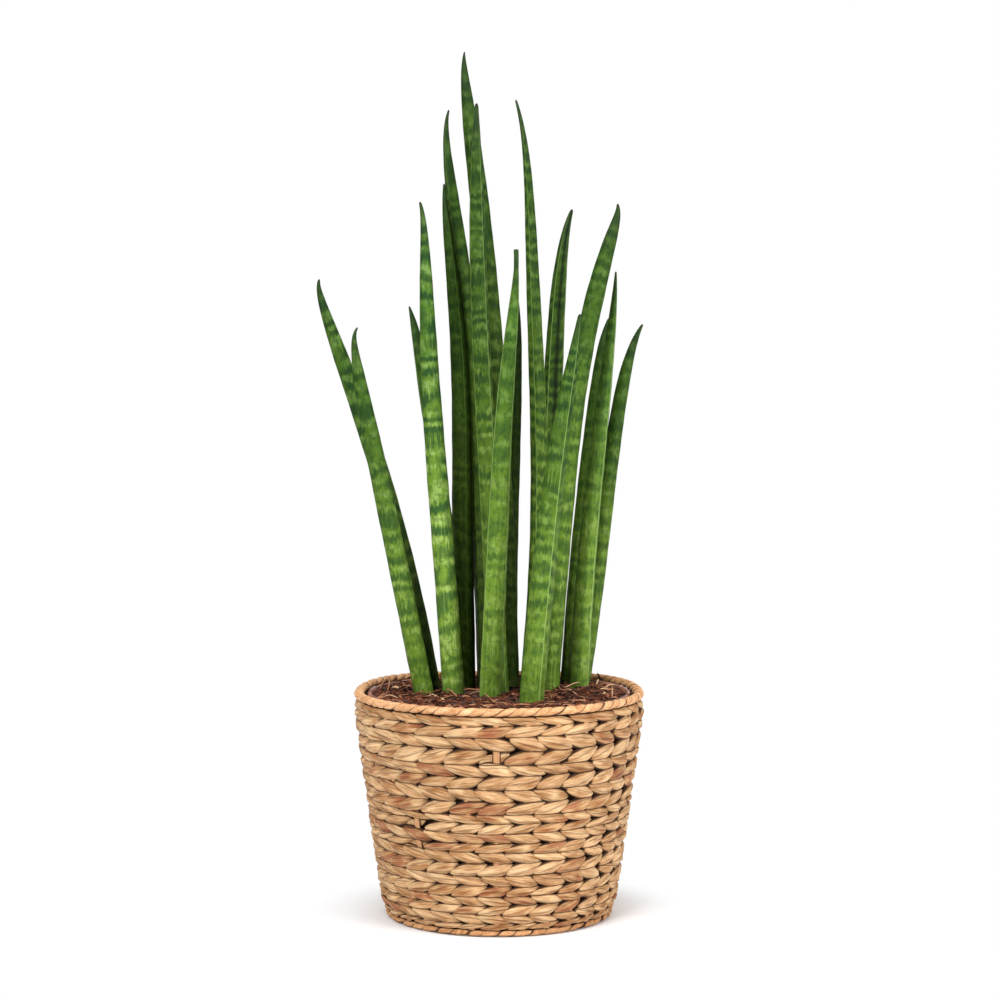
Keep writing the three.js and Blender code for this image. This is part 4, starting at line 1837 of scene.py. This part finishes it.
@dataclass
class Compost:
    """The coir compost: a lumpy mound with crumbs and fibres on it."""

    pot: NurseryPot
    edge: float = 0.1466
    middle: float = 0.1463
    middle_radius: float = 0.070
    middle_softness: float = 0.004
    bottom: float = 0.0068
    inset: float = 0.0018
    rings: int = 100
    columns: int = 300
    fibre_reach: float = 0.082
    fibres: float = 1150.0
    husks: float = 420.0
    crumbs: float = 2700.0
    fibre_rings: int = 24
    fibre_sides: int = 6
    fibre_tip: float = 0.25
    fibre_blunt: float = 0.08
    # How the lumps' waves run along X and Y, and the height, size and seed of the clods on them.
    lump_height: float = 0.0006
    lump_waves: tuple[tuple[int, int], ...] = ((310, 110), (-70, 270), (530, -610))
    clods: tuple[tuple[float, float, int], ...] = ((0.0010, 0.0055, 71), (0.0007, 0.0024, 72))
    edge_softness: float = 0.001
    crumb_radius: float = 0.00095

    def height(self, x: np.ndarray, y: np.ndarray) -> np.ndarray:
        """The compost's height at each place.

        Args:
            x: Places along X.
            y: Places along Y.

        Returns:
            The heights.
        """
        radius = np.hypot(x, y)
        inside = 1 / (1 + np.exp((radius - self.middle_radius) / self.middle_softness))
        lumps = sum(np.sin(across * x + along * y) for across, along in self.lump_waves)
        clods = sum(height * ground_noise(x, y, size, seed) for height, size, seed in self.clods)
        edging = 1 / (1 + np.exp((radius - self.fibre_reach) / self.edge_softness))
        level = self.edge + (self.middle - self.edge + self.lump_height * lumps) * inside
        return level + clods * edging

    def openness(self, x: np.ndarray, y: np.ndarray) -> np.ndarray:
        """0 where a leaf stands or the pot's wall is near, and 1 elsewhere.

        Args:
            x: Places along X.
            y: Places along Y.

        Returns:
            A number for each place.
        """
        free = (np.hypot(x, y) < self.fibre_reach).astype(float)
        for form in LEAF_FORMS:
            clear = form.girth[0] / 2 + 0.0006
            free *= np.hypot(x - form.foot[0], y - form.foot[1]) > clear
        return free

    def body(self) -> bpy.types.Mesh:
        """The compost's closed mesh, with where loose matter may lie as an attribute.

        Returns:
            The mesh.
        """
        top_radius = self.pot.radius(self.edge) - self.inset
        profile = [(0.0, self.bottom), (self.pot.radius(self.bottom) - self.inset, self.bottom)]
        profile += [(top_radius * (1 - ring / self.rings), self.edge) for ring in range(self.rings + 1)]
        mesh = revolved("compost_body", profile, self.columns)
        points = np.empty(len(mesh.vertices) * 3)
        mesh.vertices.foreach_get("co", points)
        points = points.reshape(-1, 3)
        upper = points[:, 2] > self.edge - 1e-6
        x, y = points[:, 0], points[:, 1]
        points[:, 2] = np.where(upper, self.height(x, y), points[:, 2])
        mesh.vertices.foreach_set("co", points.ravel())
        mesh.update()
        add_attribute(mesh, "open", self.openness(x, y) * upper)
        return mesh

    def litter_tree(self, finish: Finish) -> GrowthTree:
        """Writes the tree that strews fibres, husks and crumbs.

        Args:
            finish: Their finish.

        Returns:
            The tree.
        """
        pen = GrowthTree("coir litter")
        fibres, husks, crumbs, crumb = pen.sizes(self, "fibres", "husks", "crumbs", "crumb_radius")
        area = math.pi * self.fibre_reach**2
        open_ground = pen.math("GREATER_THAN", pen.recall("open"), 0.5)

        def strewn(total: Value, seed: int, **spans: tuple[float, float]) -> Value:
            """Points on the open ground, with their place, their tint and their random numbers.

            Args:
                total: How many there would be if all the ground were open.
                seed: Picks their places, and the next seeds their numbers.
                spans: The least and the most that each number can be, by name.

            Returns:
                The points.
            """
            made = pen.node("GeometryNodeDistributePointsOnFaces", distribute_method="RANDOM")
            fed = {"Mesh": pen.base, "Selection": open_ground, "Density": total / area, "Seed": seed}
            for name, value in fed.items():
                pen.feed(made.inputs[name], value)
            points = pen.draw(Value(pen, made.outputs["Points"]), seed + 1, **spans)
            points = pen.keep(points, "tint", pen.recall("tint") ** 1.2)
            return pen.keep(points, "spot", pen.position(), vector=True)

        def rods(
            total: Value, seed: int, length: float, girth: float, flat: float, arching: float
        ) -> Value:
            """Bent thin rods that lie on the ground in every direction.

            Args:
                total: How many there would be if all the ground were open.
                seed: Picks their places, and the next seeds their numbers.
                length: How long one is.
                girth: How thick one is at its middle.
                flat: Its height as a share of its width.
                arching: How high it arches at most, as a share of half its length.

            Returns:
                The rods.
            """
            points = strewn(
                total,
                seed,
                tint=(0.0, 0.98),
                heading=(0.0, TURN),
                long=(0.4, 1.25),
                bow=(-1.0, 1.0),
                arch=(0.0, 1.0),
                thick=(0.55, 1.25),
                kink=(-1.0, 1.0),
            )
            strands = pen.repeat(points, pen.rod(sides=4, steps=8, length=2.0))
            x, y, s = pen.split(pen.recall("local", vector=True))
            foot_x, foot_y, foot_z = pen.split(pen.recall("spot", vector=True))
            reach = length * 0.5 * pen.recall("long")
            belly = 1.0 - s * s
            thin = girth * pen.recall("thick") * (0.35 + 0.65 * belly ** 0.5)
            curve = reach * (0.45 * pen.recall("bow") * belly + 0.4 * pen.recall("kink") * s * belly)
            aside = curve + x * thin
            rise = reach * arching * pen.recall("arch") ** 2.0 * belly
            rise = rise + s * reach * 0.16 * pen.recall("kink") * pen.recall("arch")
            up = rise + (y + 0.4) * thin * flat
            heading = pen.recall("heading")
            cosine, sine = pen.math("COSINE", heading), pen.math("SINE", heading)
            place = pen.vector(
                foot_x + s * reach * cosine - aside * sine,
                foot_y + s * reach * sine + aside * cosine,
                foot_z + up,
            )
            return pen.place(strands, place)

        ball = pen.run("GeometryNodeMeshIcoSphere", {"Radius": 1.0, "Subdivisions": 1}, "Mesh")
        grains = pen.repeat(strewn(crumbs, seed=41, tint=(0.0, 0.72), thick=(0.4, 1.5)), ball)
        here = pen.position()
        centre = pen.recall("spot", vector=True)
        away = pen.run("ShaderNodeVectorMath", {0: here, 1: centre}, operation="SUBTRACT")
        rough = pen.run("ShaderNodeTexNoise", {"Vector": here, "Scale": 0.8, "Detail": 1.0}, 1)
        uneven = pen.run("ShaderNodeVectorMath", {0: away, 1: rough}, operation="MULTIPLY")
        growth = {0: uneven, "Scale": crumb * pen.recall("thick") * 2.2}
        sized = pen.run("ShaderNodeVectorMath", growth, operation="SCALE")
        grains = pen.place(grains, pen.moved(sized, centre))
        joined = pen.node("GeometryNodeJoinGeometry")
        thin_rods = rods(fibres, seed=51, length=0.013, girth=0.00034, flat=1.0, arching=0.5)
        thick_rods = rods(husks, seed=61, length=0.012, girth=0.00105, flat=0.5, arching=0.3)
        for part in (grains, thin_rods, thick_rods):
            pen.tree.links.new(part.socket, joined.inputs[0])
        pen.end(Value(pen, joined.outputs[0]), finish.material())
        return pen

    def fibre_tube(self, fibre: LooseFibre) -> np.ndarray:
        """The rings of vertices of one loose fibre.

        Args:
            fibre: The fibre.

        Returns:
            Rings, sides and X, Y and Z.
        """
        knots = np.array(fibre.points)
        knots[:, 2] += self.height(knots[:, 0], knots[:, 1]) - fibre.radius
        at = np.linspace(0, len(knots) - 1, self.fibre_rings)
        start = np.minimum(at.astype(int), len(knots) - 2)
        t = (at - start)[:, None]
        padded = np.vstack([2 * knots[0] - knots[1], knots, 2 * knots[-1] - knots[-2]])
        a, b, c, d = (padded[start + k] for k in range(4))
        path = b + 0.5 * t * (c - a + t * (2 * a - 5 * b + 4 * c - d + t * (3 * (b - c) + d - a)))
        along = np.gradient(path, axis=0)
        along /= np.linalg.norm(along, axis=1, keepdims=True)
        side = np.cross(along, [0.0, 0.0, 1.0])
        side /= np.linalg.norm(side, axis=1, keepdims=True)
        up = np.cross(side, along)
        spin = np.arange(self.fibre_sides) / self.fibre_sides * TURN
        blunt = self.fibre_blunt
        swell = np.sin(np.linspace(blunt, math.pi - blunt, self.fibre_rings)) ** 0.5
        thick = fibre.radius * (self.fibre_tip + (1 - self.fibre_tip) * swell)
        ring = side[:, None, :] * np.cos(spin)[None, :, None]
        ring = ring + up[:, None, :] * np.sin(spin)[None, :, None]
        return path[:, None, :] + ring * thick[:, None, None]

    def loose_fibres(self) -> bpy.types.Mesh:
        """The single fibres that stand out on the compost, in one mesh.

        Returns:
            The mesh.
        """
        points, faces, tints = [], [], []
        per_fibre = self.fibre_rings * self.fibre_sides
        for number, fibre in enumerate(LOOSE_FIBRES):
            points.append(self.fibre_tube(fibre).reshape(per_fibre, 3))
            start = number * per_fibre
            faces += [[start + i for i in face] for face in tube_faces(self.fibre_rings, self.fibre_sides)]
            tints += [fibre.tint] * per_fibre
        mesh = mesh_of("loose_fibres", np.vstack(points), faces)
        add_attribute(mesh, "tint", np.array(tints))
        return mesh

    def build(self) -> None:
        """Makes the compost and what lies on it and settles them."""
        ground, coir = self.body(), FibreFinish()
        make_piece(ground, CompostFinish(), "compost", "soil")
        settle(grow("compost_litter", self.litter_tree(coir), ground.copy()), "compost")
        make_piece(self.loose_fibres(), coir, "compost")


@dataclass
class Studio:
    """A pale floor, soft lamps and the camera at the photograph's viewing angle."""

    lens: float = 90.0
    sensor: float = 36.0
    camera_place: Point = (0.00066, -1.650, 0.373)
    pitch_down: float = math.radians(3.39)
    floor_size: float = 6.0
    floor_shown: float = 0.076
    floor_white: float = 0.135
    fill: float = 0.18

    def camera(self) -> None:
        """Sets the camera."""
        data = bpy.data.cameras.new("camera")
        data.lens = self.lens
        data.sensor_width = self.sensor
        made = bpy.data.objects.new("camera", data)
        made.location = self.camera_place
        made.rotation_euler = (math.pi / 2 - self.pitch_down, 0.0, 0.0)
        bpy.context.scene.collection.objects.link(made)
        bpy.context.scene.camera = made

    def lamp(self, name: str, place: Point, aim: Point, size: float, power: float) -> None:
        """Adds a soft square lamp.

        Args:
            name: The lamp's name.
            place: Where it hangs.
            aim: What it points at.
            size: The length of its side.
            power: Its power in watts.
        """
        data = bpy.data.lights.new(name, "AREA")
        data.size = size
        data.energy = power
        made = bpy.data.objects.new(name, data)
        made.location = place
        made.rotation_euler = (Vector(aim) - Vector(place)).to_track_quat("-Z", "Y").to_euler()
        bpy.context.scene.collection.objects.link(made)

    def surroundings(self) -> None:
        """A white background that lights the object only softly."""
        world = bpy.data.worlds.new("surroundings")
        world.use_nodes = True
        pen = TreePen(world.node_tree)
        seen = pen.run("ShaderNodeLightPath", {}, "Is Camera Ray")
        background = world.node_tree.nodes["Background"]
        background.inputs["Color"].default_value = (1.0, 1.0, 1.0, 1.0)
        pen.feed(background.inputs["Strength"], pen.span(seen, self.fill, 1.0))
        bpy.context.scene.world = world
        bpy.context.scene.view_settings.view_transform = "Standard"

    def floor(self) -> None:
        """A pale floor that goes over into white a little way off."""
        half = self.floor_size / 2
        corners = np.array([[-half, -half, 0], [half, -half, 0], [half, half, 0], [-half, half, 0]])
        made = new_object("studio_floor", mesh_of("studio_floor", corners, [(0, 1, 2, 3)]))
        material = bpy.data.materials.new("pale floor")
        material.use_nodes = True
        pen = TreePen(material.node_tree)
        skin = material.node_tree.nodes["Principled BSDF"]
        skin.inputs["Base Color"].default_value = (0.86, 0.86, 0.87, 1.0)
        skin.inputs["Roughness"].default_value = 0.9
        skin.inputs["Specular IOR Level"].default_value = 0.1
        away = pen.run("ShaderNodeVectorMath", {0: pen.on_piece()}, "Value", operation="LENGTH")
        seen = pen.run("ShaderNodeLightPath", {}, "Is Camera Ray")
        glow = pen.run("ShaderNodeEmission", {"Color": (1.0, 1.0, 1.0, 1.0), "Strength": 1.0})
        mixed = pen.node("ShaderNodeMixShader")
        pen.feed(mixed.inputs[0], pen.ramp(away, self.floor_shown, self.floor_white) * seen)
        material.node_tree.links.new(skin.outputs[0], mixed.inputs[1])
        material.node_tree.links.new(glow.socket, mixed.inputs[2])
        output = material.node_tree.nodes["Material Output"]
        material.node_tree.links.new(mixed.outputs[0], output.inputs["Surface"])
        made.data.materials.append(material)

    def build(self) -> None:
        """Sets the whole studio."""
        self.camera()
        self.surroundings()
        self.floor()
        self.lamp("key lamp", (-0.95, -1.62, 1.3), aim=(0.0, 0.0, 0.25), size=1.1, power=42.0)
        self.lamp("top lamp", (0.0, -0.3, 2.0), aim=(0.0, 0.0, 0.1), size=1.6, power=25.0)
        self.lamp("side lamp", (1.5, -1.1, 0.8), aim=(0.0, 0.0, 0.2), size=1.0, power=30.0)
        self.lamp("back lamp", (0.5, 1.8, 1.1), aim=(0.0, 0.0, 0.2), size=1.2, power=7.0)


def main() -> None:
    """Builds the studio and every piece, in order."""
    logging.basicConfig(level=logging.INFO, format="%(name)s: %(message)s")
    Studio().build()
    Basket().build()
    pot = NurseryPot()
    pot.build()
    Compost(pot).build()
    for number, form in enumerate(LEAF_FORMS, start=1):
        Leaf(number, form).build()


if __name__ == "__main__":
    main()
